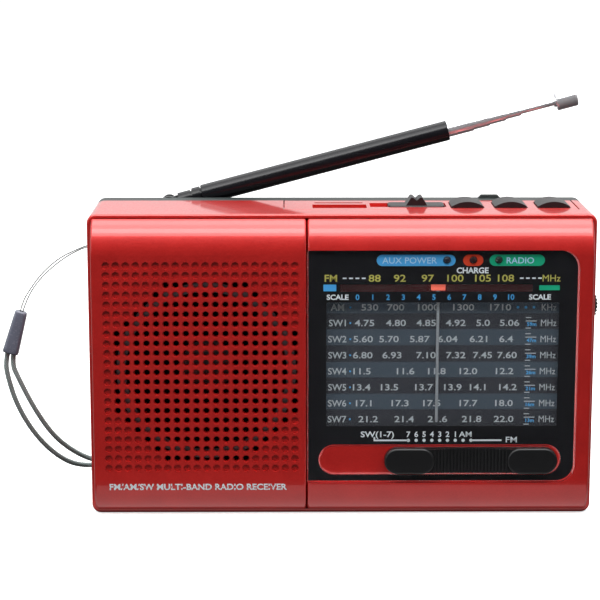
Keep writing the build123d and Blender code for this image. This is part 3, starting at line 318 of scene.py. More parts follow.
def nurbs_line(route):
    """Points along a NURBS curve of order 3 whose control points are the route, in metres."""
    curve = bpy.data.curves.new("route", "CURVE")
    curve.dimensions = "3D"
    curve.resolution_u = 24
    spline = curve.splines.new("NURBS")
    spline.points.add(len(route) - 1)
    control = np.ones((len(route), 4))
    control[:, :3] = np.array([np.asarray(p) for p in route]) * MM
    spline.points.foreach_set("co", control.ravel())
    spline.order_u = 3
    spline.use_endpoint_u = True
    spline.resolution_u = 24
    holder = bpy.data.objects.new("route", curve)
    mesh = bpy.data.meshes.new_from_object(holder)
    line = np.empty(len(mesh.vertices) * 3)
    mesh.vertices.foreach_get("co", line)
    bpy.data.objects.remove(holder)
    bpy.data.meshes.remove(mesh)
    bpy.data.curves.remove(curve)
    return line.reshape(-1, 3)


def even_steps(line, pitch):
    """The same line re-read at equal steps of arc length, close to pitch; returns points, distance."""
    along = np.concatenate([[0.0], np.cumsum(np.linalg.norm(np.diff(line, axis=0), axis=1))])
    s = np.linspace(0.0, along[-1], int(round(along[-1] / pitch)) + 1)
    return np.stack([np.interp(s, along, line[:, i]) for i in range(3)], 1), s


def cord_skin(name, line, s, radius, turn, lean=(0.31, -0.83, 0.46)):
    """A tube along line: each ring is radius(s, t) in the frame N, B across the tangent T. N starts as
    T x lean, and the frame is turned back by its own twist, the running sum of dN . B."""
    tangent = np.gradient(line, s, axis=0)
    tangent /= np.linalg.norm(tangent, axis=1, keepdims=True)
    side = np.cross(tangent, lean)
    side /= np.linalg.norm(side, axis=1, keepdims=True)
    other = np.cross(tangent, side)
    twist = -np.cumsum(np.einsum("ij,ij->i", np.gradient(side, axis=0), other))
    t = np.linspace(0.0, 2 * np.pi, turn, endpoint=False)
    angle = t[None, :] + twist[:, None]
    r = radius(s[:, None], t[None, :])[..., None]
    outward = np.cos(angle)[..., None] * side[:, None] + np.sin(angle)[..., None] * other[:, None]
    rings = line[:, None] + r * outward
    uv = np.stack([np.broadcast_to(s[:, None], angle.shape), np.broadcast_to(t[None, :], angle.shape)], -1)
    return skin(name, rings, uv)


# %% [markdown]
# ## Yarn
# A braid's yarns cross in diamonds, and the string is two plies twisted together. Both are radii
# worked out from the distance along the cord and the angle round it.

# %% Braid and twist
BRAID_CARRIERS = 8
BRAID_PITCH = 1.9 * MM
TWIST_PITCH = 1.3 * MM
FUZZ = 0.25 * MM


def braid(s, t):
    """Diamond cells between two families of helices a, b; the upper yarn of each cell is a ridge
    |cos a| that tapers as |cos b|^0.35 at the crossings, and the families swap from cell to cell."""
    a = BRAID_CARRIERS / 2 * t + 2 * np.pi * s / BRAID_PITCH
    b = BRAID_CARRIERS / 2 * t - 2 * np.pi * s / BRAID_PITCH
    ca, cb = np.abs(np.cos(a)), np.abs(np.cos(b))
    first_on_top = np.cos(a) * np.cos(b) > 0
    ridge = np.where(first_on_top, ca * cb**0.35, cb * ca**0.35)
    return STRAP_D / 2 * (0.86 + 0.14 * ridge)


def twist(s, t):
    """Two plies: the radius swells twice round as |cos(t - 2 pi s / pitch)|."""
    return STRING_D / 2 * (0.82 + 0.18 * np.abs(np.cos(t - 2 * np.pi * s / TWIST_PITCH)))


def yarn_material(name, pale, deep, pitch, carriers):
    """Nylon filament yarn with a soft sheen. Its colour is painted light, a painted highlight on each ridge
    and painted shade in the crossings, with a fuzz drawn at FUZZ, coarser than the real filaments, so that it
    shows."""
    material, tree, shader = new_material(name)
    along = add(tree, "ShaderNodeSeparateXYZ", {0: add(tree, "ShaderNodeUVMap", uv_map="along").outputs[0]})
    turns = 2 * math.pi / pitch
    lengthwise = add(tree, "ShaderNodeMath", {0: along.outputs[0], 1: turns}, operation="MULTIPLY")
    aroundwise = add(tree, "ShaderNodeMath", {0: along.outputs[1], 1: carriers / 2}, operation="MULTIPLY")
    families = {0: aroundwise.outputs[0], 1: lengthwise.outputs[0]}
    a = add(tree, "ShaderNodeMath", families, operation="ADD")
    b = add(tree, "ShaderNodeMath", families, operation="SUBTRACT")
    ca = add(tree, "ShaderNodeMath", {0: a.outputs[0]}, operation="COSINE")
    cb = add(tree, "ShaderNodeMath", {0: b.outputs[0]}, operation="COSINE")
    both = add(tree, "ShaderNodeMath", {0: ca.outputs[0], 1: cb.outputs[0]}, operation="MULTIPLY")
    # painted light: this ridge measure is high on each yarn's top and low in the crossings
    ridge = add(tree, "ShaderNodeMath", {0: both.outputs[0]}, operation="ABSOLUTE")
    place = add(tree, "ShaderNodeTexCoord").outputs["Object"]
    fuzz = add(tree, "ShaderNodeTexNoise", {"Vector": place, "Scale": 1 / FUZZ, "Detail": 3.0})
    painted_ridge_light_and_fuzz = add(tree, "ShaderNodeMath", {0: ridge.outputs[0], 1: fuzz.outputs["Fac"]}, operation="ADD")
    shade = add(tree, "ShaderNodeMapRange", {"Value": painted_ridge_light_and_fuzz.outputs[0], "From Min": 0.35, "From Max": 1.25})
    colour = add(
        tree,
        "ShaderNodeMix",
        {0: shade.outputs["Result"], 6: paint(deep), 7: paint(pale)},
        data_type="RGBA",
    )
    tree.links.new(colour.outputs[2], shader.inputs["Base Color"])
    nap = {"Height": fuzz.outputs["Fac"], "Distance": 0.03 * MM, "Strength": 0.6}
    bump = add(tree, "ShaderNodeBump", nap)
    tree.links.new(bump.outputs[0], shader.inputs["Normal"])
    shader.inputs["Roughness"].default_value = 0.62
    shader.inputs["Sheen Weight"].default_value = 0.1
    return material


# the pale colours are painted highlight on the yarn ridges, the deep ones painted shade in the crossings
braided_nylon = yarn_material("braided_nylon_strap", "#b4c0bf", "#56615f", BRAID_PITCH, BRAID_CARRIERS)
twisted_nylon = yarn_material("twisted_nylon_string", "#4a5350", "#2c3330", TWIST_PITCH, 4)

string_line, string_s = even_steps(nurbs_line(STRING_ROUTE), 0.12 * MM)
wrist_string = show(cord_skin("string", string_line, string_s, twist, 14), "string", twisted_nylon)
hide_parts("wrist_string")
strap_line, strap_s = even_steps(nurbs_line(STRAP_ROUTE), 0.13 * MM)
wrist_strap = show(cord_skin("strap", strap_line, strap_s, braid, 40), "strap", braided_nylon)
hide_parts("wrist_strap")
print("string", round(string_s[-1] / MM, 1), "mm, strap", round(strap_s[-1] / MM, 1), "mm")

# %% [markdown]
# ## Strap barrel
# The barrel is moulded in two halves, glossy and squarish in section. It is a stack of
# superellipse rings along its axis: out of the upper mouth, over the lip, down the side, round the
# lower edge and up into the mouth that takes the braid.

# %% Barrel
barrel_length = float(np.linalg.norm(BARREL_END - BARREL_TOP))
MOUTH_DEPTH = 2.4
# each row: depth along the axis, half width, half thickness, roundness power
stations = np.array(
    [
        (MOUTH_DEPTH, 0.80, 0.66, 2.0),
        (0.30, 0.86, 0.70, 2.0),
        (0.06, 1.00, 0.84, 2.0),
        (0.00, 1.20, 1.00, 2.2),
        (0.04, 1.62, 1.36, 2.6),
        (0.22, 1.92, 1.62, 3.0),
        (0.60, 2.08, 1.77, 3.3),
        (1.30, 2.14, 1.82, 3.5),
        (barrel_length * 0.5, 2.45, 2.05, 3.8),
        (barrel_length - 1.5, 2.72, 2.24, 3.8),
        (barrel_length - 0.60, 2.76, 2.27, 3.6),
        (barrel_length - 0.18, 2.62, 2.14, 3.3),
        (barrel_length, 2.36, 1.90, 3.0),
        (barrel_length - 0.02, 2.12, 1.20, 2.4),
        (barrel_length - 0.30, 2.02, 1.08, 2.2),
        (barrel_length - MOUTH_DEPTH, 1.98, 1.04, 2.2),
    ]
)
rounds = np.stack([superellipse(1.0, 1.0, 56, power) for power in stations[:, 3]])
barrel_rings = (
    BARREL_TOP
    + stations[:, 0, None, None] * barrel_way
    + (rounds[..., 0] * stations[:, 1, None])[..., None] * barrel_side
    + (rounds[..., 1] * stations[:, 2, None])[..., None] * np.array([0.0, 1.0, 0.0])
) * MM
print("barrel rings", barrel_rings.shape)

# %% [markdown]
# ## Finishes
# Most parts of a radio are moulded, plated or painted, and their finishes differ mainly in colour,
# gloss and the grain of the tool. One recipe covers them: a mottle shifts the colour and the
# roughness a little, and a finer grain gives the surface its relief. Grain sizes are in
# millimetres, estimated from what such moulds, sprays and platings leave.


# %% The common recipe
def finish(
    name, pale, deep, roughness, grain, relief, metallic=0.0, stretch=(1, 1, 1), turn=(0, 0, 0), **sockets
):
    """pale to deep follows a mottle ten grains wide, roughness its range, relief the grain's height."""
    material, tree, shader = new_material(name)
    place = add(tree, "ShaderNodeTexCoord").outputs["Object"]
    laid = add(tree, "ShaderNodeMapping", {"Vector": place, "Rotation": turn, "Scale": stretch}).outputs[0]
    mottle = add(tree, "ShaderNodeTexNoise", {"Vector": laid, "Scale": 0.1 / grain, "Detail": 3.0})
    tooth = add(tree, "ShaderNodeTexNoise", {"Vector": laid, "Scale": 1 / grain, "Detail": 2.0})
    tint = add(
        tree,
        "ShaderNodeMix",
        {0: mottle.outputs["Fac"], 6: paint(pale), 7: paint(deep)},
        data_type="RGBA",
    )
    gloss = add(
        tree,
        "ShaderNodeMapRange",
        {
            "Value": tooth.outputs["Fac"],
            "From Min": 0.3,
            "From Max": 0.7,
            "To Min": roughness[0],
            "To Max": roughness[1],
        },
    )
    bump = add(tree, "ShaderNodeBump", {"Height": tooth.outputs["Fac"], "Distance": relief})
    tree.links.new(tint.outputs[2], shader.inputs["Base Color"])
    tree.links.new(gloss.outputs["Result"], shader.inputs["Roughness"])
    tree.links.new(bump.outputs[0], shader.inputs["Normal"])
    shader.inputs["Metallic"].default_value = metallic
    for socket, value in sockets.items():
        shader.inputs[socket.replace("_", " ")].default_value = value
    return material


# %% [markdown]
# ## Red lacquer
# The case is ABS sprayed with red lacquer that holds fine metal flake, under a clear coat. The
# flake is drawn at 0.35 mm, coarser than the real 0.05 mm, so that it shows. The spray drifts in
# patches 9 mm wide, and the coat has an orange peel of 1.6 mm. The coat gives the sharp pale
# reflection over the softer red one.

# %% Red lacquer
FLAKE = 0.35 * MM
SPRAY_PATCH = 9 * MM
ORANGE_PEEL = 1.6 * MM
red_lacquer, tree, shader = new_material("red_metallic_lacquer_on_abs")
place = add(tree, "ShaderNodeTexCoord").outputs["Object"]
flake = add(tree, "ShaderNodeTexVoronoi", {"Vector": place, "Scale": 1 / FLAKE})
flake_tone = add(tree, "ShaderNodeSeparateColor", {0: flake.outputs["Color"]}).outputs[0]
spray = add(tree, "ShaderNodeTexNoise", {"Vector": place, "Scale": 1 / SPRAY_PATCH, "Detail": 2.0})
flake_mix = add(tree, "ShaderNodeMapRange", {"Value": flake_tone, "To Min": -0.16, "To Max": 0.16})
red_tone = add(
    tree, "ShaderNodeMath", {0: spray.outputs["Fac"], 1: flake_mix.outputs["Result"]}, operation="ADD"
)
red_tint = add(
    tree,
    "ShaderNodeMix",
    {0: red_tone.outputs[0], 6: paint("#b81a17"), 7: paint("#cf2521")},
    data_type="RGBA",
)
tree.links.new(red_tint.outputs[2], shader.inputs["Base Color"])
red_gloss = add(tree, "ShaderNodeMapRange", {"Value": flake_tone, "To Min": 0.30, "To Max": 0.42})
tree.links.new(red_gloss.outputs["Result"], shader.inputs["Roughness"])
peel = add(tree, "ShaderNodeTexNoise", {"Vector": place, "Scale": 1 / ORANGE_PEEL, "Detail": 1.0})
peel_bump = add(tree, "ShaderNodeBump", {"Height": peel.outputs["Fac"], "Distance": 0.008 * MM})
tree.links.new(peel_bump.outputs[0], shader.inputs["Normal"])
shader.inputs["Metallic"].default_value = 0.25
shader.inputs["Coat Weight"].default_value = 0.85
shader.inputs["Coat Roughness"].default_value = 0.06

# %% [markdown]
# ## Clear dial window
# The window is moulded acrylic. It is true glass to the camera; to lamps and bounced light it is
# an open pane, because a path tracer would otherwise leave the print under it nearly unlit. Acrylic
# has an index of 1.49, which laid a grey haze over the table. The index of 1.2 used here was found
# by trial: it takes most of the haze away.

# %% Clear acrylic
PANE_IOR = 1.2
clear_acrylic, tree, shader = new_material("clear_moulded_acrylic")
shader.inputs["Base Color"].default_value = paint("#f7fafc")
shader.inputs["Transmission Weight"].default_value = 1.0
shader.inputs["IOR"].default_value = PANE_IOR
place = add(tree, "ShaderNodeTexCoord").outputs["Object"]
ripple = add(tree, "ShaderNodeTexNoise", {"Vector": place, "Scale": 1 / (12 * MM), "Detail": 1.0})
wipe = add(tree, "ShaderNodeMapRange", {"Value": ripple.outputs["Fac"], "To Min": 0.0, "To Max": 0.03})
tree.links.new(wipe.outputs["Result"], shader.inputs["Roughness"])
open_pane = add(tree, "ShaderNodeBsdfTransparent")
ray = add(tree, "ShaderNodeLightPath")
lamp_or_bounce = add(
    tree,
    "ShaderNodeMath",
    {0: ray.outputs["Is Shadow Ray"], 1: ray.outputs["Is Diffuse Ray"]},
    operation="MAXIMUM",
)
pane = add(
    tree,
    "ShaderNodeMixShader",
    {0: lamp_or_bounce.outputs[0], 1: shader.outputs[0], 2: open_pane.outputs[0]},
)
tree.links.new(pane.outputs[0], tree.nodes["Material Output"].inputs["Surface"])

# %% [markdown]
# ## Loudspeaker cone
# The cone is black coated paper with a bright aluminium cap in the middle, behind the centre of the
# grille. Distance from the cone's axis decides which one a point is.

# %% Paper cone with an aluminium cap
cone_low, cone_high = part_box("speaker_cone")
cone_x, cone_z = (cone_low.x + cone_high.x) / 2, (cone_low.z + cone_high.z) / 2
CAP_R = 8.5 * MM
CAP_METALLIC = 0.35
paper_cone, tree, shader = new_material("paper_cone_aluminium_cap")
place = add(tree, "ShaderNodeTexCoord").outputs["Object"]
centred = add(tree, "ShaderNodeVectorMath", {0: place, 1: (cone_x, 0.0, cone_z)}, operation="SUBTRACT")
flat = add(tree, "ShaderNodeVectorMath", {0: centred.outputs[0], 1: (1, 0, 1)}, operation="MULTIPLY")
reach = add(tree, "ShaderNodeVectorMath", {0: flat.outputs[0]}, operation="LENGTH")
is_cap = add(tree, "ShaderNodeMath", {0: reach.outputs["Value"], 1: CAP_R}, operation="LESS_THAN").outputs[0]
pulp = add(tree, "ShaderNodeTexNoise", {"Vector": place, "Scale": 1 / (0.4 * MM), "Detail": 4.0})
pulp_tint = add(
    tree,
    "ShaderNodeMix",
    {0: pulp.outputs["Fac"], 6: paint("#0c0c0d"), 7: paint("#1d1c1c")},
    data_type="RGBA",
)
cone_tint = add(
    tree, "ShaderNodeMix", {0: is_cap, 6: pulp_tint.outputs[2], 7: paint("#f4f5f7")}, data_type="RGBA"
)
tree.links.new(cone_tint.outputs[2], shader.inputs["Base Color"])
cap_metal = add(tree, "ShaderNodeMath", {0: is_cap, 1: CAP_METALLIC}, operation="MULTIPLY")
tree.links.new(cap_metal.outputs[0], shader.inputs["Metallic"])
cone_rough = add(tree, "ShaderNodeMapRange", {"Value": is_cap, "To Min": 0.85, "To Max": 0.28})
tree.links.new(cone_rough.outputs["Result"], shader.inputs["Roughness"])
pulp_bump = add(tree, "ShaderNodeBump", {"Height": pulp.outputs["Fac"], "Distance": 0.03 * MM})
tree.links.new(pulp_bump.outputs[0], shader.inputs["Normal"])

# %% [markdown]
# ## The other finishes, one for each of the model's slots
# The aerial's lacquer and chrome are streaked along its axis. The chrome is 0.7 metallic, for the
# film that handling leaves on it, and the flag's red paint carries a painted glow: a little emission.
# Moulded ABS and nylon have a grain of 0.3 to 0.6 mm, and the lamps are tinted epoxy.


# %% Finishes by slot
def tinted_epoxy(hue, pale, deep):
    """A lamp's body: smooth moulded epoxy, tinted, with a glossy skin."""
    return finish(f"{hue}_tinted_epoxy", pale, deep, (0.12, 0.2), 0.5 * MM, 0.002 * MM, Coat_Weight=0.6)


MAST_TILT = math.radians(14.74)
along_mast = {"turn": (0.0, MAST_TILT, 0.0), "stretch": (0.06, 1.0, 1.0)}
finishes = {
    "red_abs": red_lacquer,
    "clear_acrylic": clear_acrylic,
    "paper_cone": paper_cone,
    "grey_abs": finish(
        "charcoal_spark_textured_abs", "#2f3534", "#262b2b", (0.42, 0.6), 0.35 * MM, 0.02 * MM
    ),
    "black_abs": finish(
        "black_satin_moulded_abs", "#161618", "#111113", (0.34, 0.46), 0.30 * MM, 0.006 * MM
    ),
    "steel": finish(
        "zinc_plated_steel", "#b9bcc0", "#9da0a4", (0.28, 0.42), 0.20 * MM, 0.004 * MM, metallic=1.0
    ),
    "dial_black": finish(
        "black_printed_dial_plate", "#151518", "#101013", (0.6, 0.75), 0.15 * MM, 0.004 * MM,
        Specular_IOR_Level=0.1,
    ),
    "led_blue": tinted_epoxy("blue", "#1c2230", "#141926"),
    "led_red": tinted_epoxy("red", "#33191a", "#261214"),
    "led_green": tinted_epoxy("green", "#182a24", "#11201b"),
    "ferrite": finish("sintered_ferrite", "#3a3a3d", "#29292c", (0.6, 0.8), 0.2 * MM, 0.02 * MM),
    "grey_nylon": finish("grey_moulded_nylon", "#b4b4ac", "#a3a39c", (0.45, 0.6), 0.4 * MM, 0.01 * MM),
    "black_nylon": finish("black_moulded_nylon", "#1a1a1c", "#121214", (0.4, 0.55), 0.4 * MM, 0.01 * MM),
    # painted glow: the flag's emission lights it up in the shade where it sits, though it is no lamp
    "pointer_red": finish(
        "red_flag_with_painted_glow", "#f6705c", "#ee644f", (0.4, 0.5), 0.3 * MM, 0.004 * MM,
        Emission_Color=paint("#ff6a50"), Emission_Strength=0.45,
    ),
    "cord_fibre": finish(
        "twisted_polyester_dial_cord", "#d8d4c4", "#b8b3a0", (0.7, 0.85), 0.15 * MM, 0.03 * MM
    ),
    "circuit_board": finish("green_solder_mask_board", "#1f6b3e", "#185632", (0.3, 0.5), 0.6 * MM, 0.01 * MM),
    "nickel": finish(
        "nickel_plated_brass", "#c9c5ba", "#b3afa4", (0.2, 0.34), 0.25 * MM, 0.003 * MM, metallic=1.0
    ),
    "copper_wire": finish(
        "enamelled_copper_winding", "#b5643a", "#8f4926", (0.3, 0.45), 0.3 * MM, 0.05 * MM, metallic=1.0,
        stretch=(1.0, 0.15, 0.15),
    ),
    "battery_wrap": finish(
        "silver_pvc_battery_sleeve", "#b9bec6", "#a8adb6", (0.3, 0.42), 0.8 * MM, 0.006 * MM
    ),
    "black_metal": finish(
        "black_gloss_lacquered_brass", "#141519", "#0e0f12", (0.2, 0.28), 0.5 * MM, 0.002 * MM,
        Coat_Weight=0.1, Specular_IOR_Level=0.25, **along_mast,
    ),
    "chrome": finish(
        "wiped_chrome_plate", "#e6e7ea", "#d6d7db", (0.09, 0.18), 0.12 * MM, 0.0015 * MM,
        metallic=0.7, **along_mast,
    ),
    "lilac_grey_abs": finish(
        "lilac_grey_gloss_abs", "#6f7382", "#656977", (0.2, 0.3), 0.6 * MM, 0.004 * MM, Coat_Weight=0.5
    ),
    "string_nylon": twisted_nylon,
    "strap_nylon": braided_nylon,
}
for node in frame["nodes"]:
    for holder in bpy.data.objects[node if isinstance(node, str) else node["name"]].material_slots:
        holder.material = finishes[holder.material.name.split(".")[0]]
print(len(finishes), "finishes")

barrel = show(skin("barrel", barrel_rings), "barrel", finishes["lilac_grey_abs"])
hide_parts("strap_barrel")

# %% [markdown]
# ## The cords' facts
# The string is 78 mm with its loop round the lug's bar, and all but the few millimetres inside the
# barrel is in view. The strap is 228 mm, as such straps measure. The ends of both go into the barrel.

# %% [markdown]
# ## Print under the window
# The window is screen printed on its back: a black mask with openings, and on top of it, nearer
# the eye, coloured blocks and lettering. Each layer is a sheet of ink 0.02 mm thick, made as a
# filled flat curve so that openings come out exact, then turned upright as a mesh.

# %% Ink layers
INK = 0.02 * MM
lens_low, lens_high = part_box("dial_lens")
MASK_Y = lens_high.y - 0.03 * MM
BLOCK_Y = MASK_Y - 1.5 * INK
LABEL_Y = BLOCK_Y - 1.5 * INK
plate_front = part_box("dial_plate")[0].y


def rounded(x0, x1, z0, z1, radii, steps=10):
    """A rectangle's outline in mm, each corner a quarter circle of its own radius, from the lower
    left one counter-clockwise."""
    t = np.linspace(0.0, np.pi / 2, steps)
    centres = (
        (x0, z0, 1, 1, np.pi),
        (x1, z0, -1, 1, 1.5 * np.pi),
        (x1, z1, -1, -1, 0.0),
        (x0, z1, 1, -1, 0.5 * np.pi),
    )
    arcs = [
        np.stack([x + sx * r + r * np.cos(t + start), z + sz * r + r * np.sin(t + start)], 1)
        for (x, z, sx, sz, start), r in zip(centres, radii)
    ]
    return np.concatenate(arcs)


def disc(x, z, radius, steps=32):
    """A circle's outline in mm."""
    t = np.linspace(0.0, 2 * np.pi, steps, endpoint=False)
    return np.stack([x + radius * np.cos(t), z + radius * np.sin(t)], 1)


def flat_mesh(outlines, thickness):
    """Points and faces of a filled flat curve; an outline inside another is an opening."""
    curve = bpy.data.curves.new("ink", "CURVE")
    curve.dimensions = "2D"
    curve.fill_mode = "BOTH"
    curve.extrude = thickness / 2
    for outline in outlines:
        spline = curve.splines.new("POLY")
        spline.points.add(len(outline) - 1)
        points = np.ones((len(outline), 4))
        points[:, :2] = outline * MM
        points[:, 2] = 0.0
        spline.points.foreach_set("co", points.ravel())
        spline.use_cyclic_u = True
    return curve_parts(curve)


def curve_parts(curve):
    """The points and faces that a curve or text fills, and the curve is dropped."""
    holder = bpy.data.objects.new("ink", curve)
    mesh = bpy.data.meshes.new_from_object(holder)
    points = np.empty(len(mesh.vertices) * 3)
    mesh.vertices.foreach_get("co", points)
    faces = [tuple(face.vertices) for face in mesh.polygons]
    bpy.data.objects.remove(holder)
    bpy.data.meshes.remove(mesh)
    bpy.data.curves.remove(curve)
    return points.reshape(-1, 3), faces


def join(parts):
    """One list of points and faces from many, each part's face numbers moved past those before it."""
    starts = np.cumsum([0] + [len(points) for points, _ in parts])
    faces = [tuple(i + int(start) for i in face) for start, (_, some) in zip(starts, parts) for face in some]
    return np.concatenate([points for points, _ in parts]), faces


def upright(name, points, faces, y, material, body="case"):
    """Turns a flat layer to stand facing the front at y, where y may follow height, and shows it."""
    x, z, lift = points.T
    depth = y(z) if callable(y) else y
    placed = np.stack([x, depth - lift, z], 1)
    mesh = bpy.data.meshes.new(name)
    mesh.from_pydata(placed.tolist(), [], faces)
    mesh.update()
    piece = show(mesh, name, material, body)
    return piece


def ink(name, pale, deep):
    """Screen ink: matt and nearly without gloss, with the 0.2 mm unevenness that the mesh leaves."""
    return finish(name, pale, deep, (0.6, 0.7), 0.2 * MM, 0.002 * MM, Specular_IOR_Level=0.08)


ink_black = ink("black_screen_ink", "#121215", "#0e0e11")
ink_white = ink("white_screen_ink", "#e3eaee", "#d5dde2")
ink_grey = ink("grey_screen_ink", "#b4bbbf", "#a8b0b5")
ink_yellow = ink("yellow_screen_ink", "#c2bd62", "#b5b057")
ink_blue = ink("blue_screen_ink", "#52acea", "#49a2e0")
ink_pale_blue = ink("pale_blue_screen_ink", "#b4dcf6", "#a6d2f0")
ink_red = ink("red_screen_ink", "#d9492f", "#cf4029")
ink_green = ink("green_screen_ink", "#22ae83", "#1da47a")
ink_strip = ink("deep_red_screen_ink", "#7c2c31", "#70272c")
ink_row_pale = ink("slate_screen_ink", "#3f4a56", "#39434e")
ink_row_deep = ink("dark_slate_screen_ink", "#2b2d34", "#26282e")

# %% [markdown]
# ## Mask, pills and blocks
# The black mask leaves openings for the table, the pointer's strip, the band selector and the three
# lamps. Each lamp sits in a coloured pill, and a coloured block marks each end of the scale.

# %% Mask, pills and blocks
LED_XS = (33.6, 42.1, 50.3)
LED_Z = 85.8
PILL_LOW, PILL_HIGH = 83.85, 87.55
SLOT_X, SLOT_Z, SLOT_W, SLOT_H = 32.1, 19.4, 78.8, 9.8
SLOT_ROOM = 0.25
slot_half_w, slot_half_h = SLOT_W / 2 + SLOT_ROOM, SLOT_H / 2 + SLOT_ROOM
lamp_holes = [disc(x, LED_Z, 1.35) for x in LED_XS]
mask_edge = rounded(
    lens_low.x / MM + 0.15, lens_high.x / MM - 0.45, lens_low.z / MM + 0.45, lens_high.z / MM - 0.15,
    (0.3, 5.6, 5.8, 0.3),
)
slot_edge = rounded(
    SLOT_X - slot_half_w, SLOT_X + slot_half_w, SLOT_Z - slot_half_h, SLOT_Z + slot_half_h,
    (SLOT_H / 2 + 0.2,) * 4, 16,
)
table_window = rounded(-5.1, 70.1, 30.7, 71.9, (0.3,) * 4, 4)
strip_window = rounded(-0.7, 61.4, 75.45, 77.8, (0.2,) * 4, 4)
mask_outlines = [mask_edge, slot_edge, table_window, strip_window, *lamp_holes]
upright("dial_mask", *flat_mesh(mask_outlines, INK), MASK_Y, ink_black)


def pill(x0, x1, lamp):
    """A rounded lozenge with the hole of its lamp."""
    half = (PILL_HIGH - PILL_LOW) / 2 - 0.001
    return flat_mesh([rounded(x0, x1, PILL_LOW, PILL_HIGH, (half,) * 4, 12), disc(lamp, LED_Z, 1.3)], INK)


upright("pill_blue", *pill(11.0, 36.4, LED_XS[0]), BLOCK_Y, ink_blue)
upright("pill_red", *pill(38.8, 45.3, LED_XS[1]), BLOCK_Y, ink_red)
upright("pill_green", *pill(47.3, 65.1, LED_XS[2]), BLOCK_Y, ink_green)
upright("block_blue", *flat_mesh([rounded(-6.1, -1.95, 75.6, 77.8, (0.2,) * 4, 4)], INK), BLOCK_Y, ink_blue)
upright("block_green", *flat_mesh([rounded(63.5, 70.1, 75.9, 77.5, (0.2,) * 4, 4)], INK), BLOCK_Y, ink_green)

# %% [markdown]
# ## Lettering
# Each label is a text curve scaled so that a capital H has the wanted height, then squeezed to its
# width and laid at its place. The words and numbers are those any such dial has.


# %% Text tools
def lettered(words, weight=0.0):
    """Points and faces of a line of type, one unit of thickness, as tall as its font makes it."""
    curve = bpy.data.curves.new("type", "FONT")
    curve.body = words
    curve.size = 1.0
    curve.offset = weight
    curve.resolution_u = 3
    curve.extrude = 0.5
    return curve_parts(curve)


cap_height = float(np.ptp(lettered("H")[0][:, 1]))


def label(words, x, z, height, squeeze=1.0, weight=0.012, align=0.5):
    """A label in metres: capitals are height mm tall and centred on z; align 0, 0.5 or 1 puts its
    left end, middle or right end on x."""
    points, faces = lettered(words, weight)
    scale = height / cap_height
    width = np.ptp(points[:, 0])
    placed = np.stack(
        [
            x * MM + (points[:, 0] - points[:, 0].min() - align * width) * scale * squeeze * MM,
            z * MM + (points[:, 1] - cap_height / 2) * scale * MM,
            points[:, 2] * INK,
        ],
        1,
    )
    return placed, faces


def bars(spans, z, height):
    """Flat dashes or dots in a row: each span is its first and last x."""
    low, high = z - height / 2, z + height / 2
    return [flat_mesh([rounded(a, b, low, high, (height * 0.3,) * 4, 4)], INK) for a, b in spans]


# %% [markdown]
# ## Lettering on the window
# The FM scale, the lamps' names, a scale of 0 to 10 and the band selector's marks are printed in
# white, yellow and blue over the mask and the pills.

# %% Lettering on the window
FM_Z, SCALE_Z, LAMP_TEXT_Z = 79.85, 73.65, 85.65
BAND_Z, BAND_MARK_Z = 28.0, 25.95
yellow = [label("FM", -3.7, FM_Z, 2.2, 1.1, 0.012), label("MHz", 67.4, FM_Z, 2.2, 0.97, 0.0)]
FM_FIGURES = (("88", 10.4), ("92", 18.5), ("97", 27.5), ("100", 36.4), ("105", 45.3), ("108", 52.7))
yellow += [label(words, x, FM_Z, 2.2, 1.26, 0.008) for words, x in FM_FIGURES]
upright("print_yellow", *join(yellow), LABEL_Y, ink_yellow)

dashes = [(a, a + 1.25) for a in np.arange(0.1, 7.0, 2.05)]
dashes += [(a, a + 1.2) for a in np.arange(57.2, 64.0, 1.95)]
white = bars(dashes, FM_Z, 0.42)
white += [label("SCALE", x, SCALE_Z, 1.6, 1.07, 0.03) for x in (-1.5, 63.8)]
white.append(label("CHARGE", 41.9, 82.4, 1.75, 1.02, 0.03))
white.append(label("SW(1-7)", 11.64, BAND_Z, 1.85, 1.18, 0.016))
DOT_FIRST, DOT_PITCH = 21.8, 2.56
white += [label(str(7 - i), DOT_FIRST + i * DOT_PITCH, BAND_Z, 1.75, 1.0, 0.02) for i in range(7)]
white.append(label("AM", 40.4, BAND_Z, 1.75, 1.15, 0.008))
white.append(label("FM", 55.5, BAND_MARK_Z + 0.2, 1.85, 1.2, 0.008))
white += [flat_mesh([disc(DOT_FIRST + i * DOT_PITCH, BAND_MARK_Z, 0.55, 16)], INK) for i in range(9)]
white += bars([(10.4, 21.8), (42.3, 52.3)], BAND_MARK_Z, 0.55)
white.append(flat_mesh([rounded(10.4, 10.95, BAND_MARK_Z, BAND_MARK_Z + 1.1, (0.05,) * 4, 3)], INK))
upright("print_white", *join(white), LABEL_Y, ink_white)

DIGIT_FIRST, DIGIT_PITCH, TEN_SHIFT = 4.9, 4.93, 0.3
digit_places = [DIGIT_FIRST + i * DIGIT_PITCH + (TEN_SHIFT if i == 10 else 0.0) for i in range(11)]
digits = [label(str(i), x, SCALE_Z, 1.7, 1.0, 0.02) for i, x in enumerate(digit_places)]
upright("print_blue", *join(digits), LABEL_Y, ink_blue)
lamps = [
    label("AUX POWER", 21.6, LAMP_TEXT_Z, 1.95, 1.05, 0.006),
    label("RADIO", 57.2, LAMP_TEXT_Z, 1.95, 1.03, 0.01),
]
upright("print_lamps", *join(lamps), LABEL_Y - INK, ink_pale_blue)

# %% [markdown]
# ## Frequency table
# The table is printed on the plate behind the window, so it slides against the mask as the eye
# moves, and the needle passes in front of it. Rows alternate between two slates.

# %% Frequency table
TABLE_Y = plate_front - INK
TABLE_LABEL_Y = TABLE_Y - 1.5 * INK
ROW_EDGES = (72.6, 67.9, 62.65, 57.35, 51.75, 46.6, 41.1, 35.9, 30.2)
ROW_Z = [69.85] + [64.7 - 5.36 * i for i in range(7)]
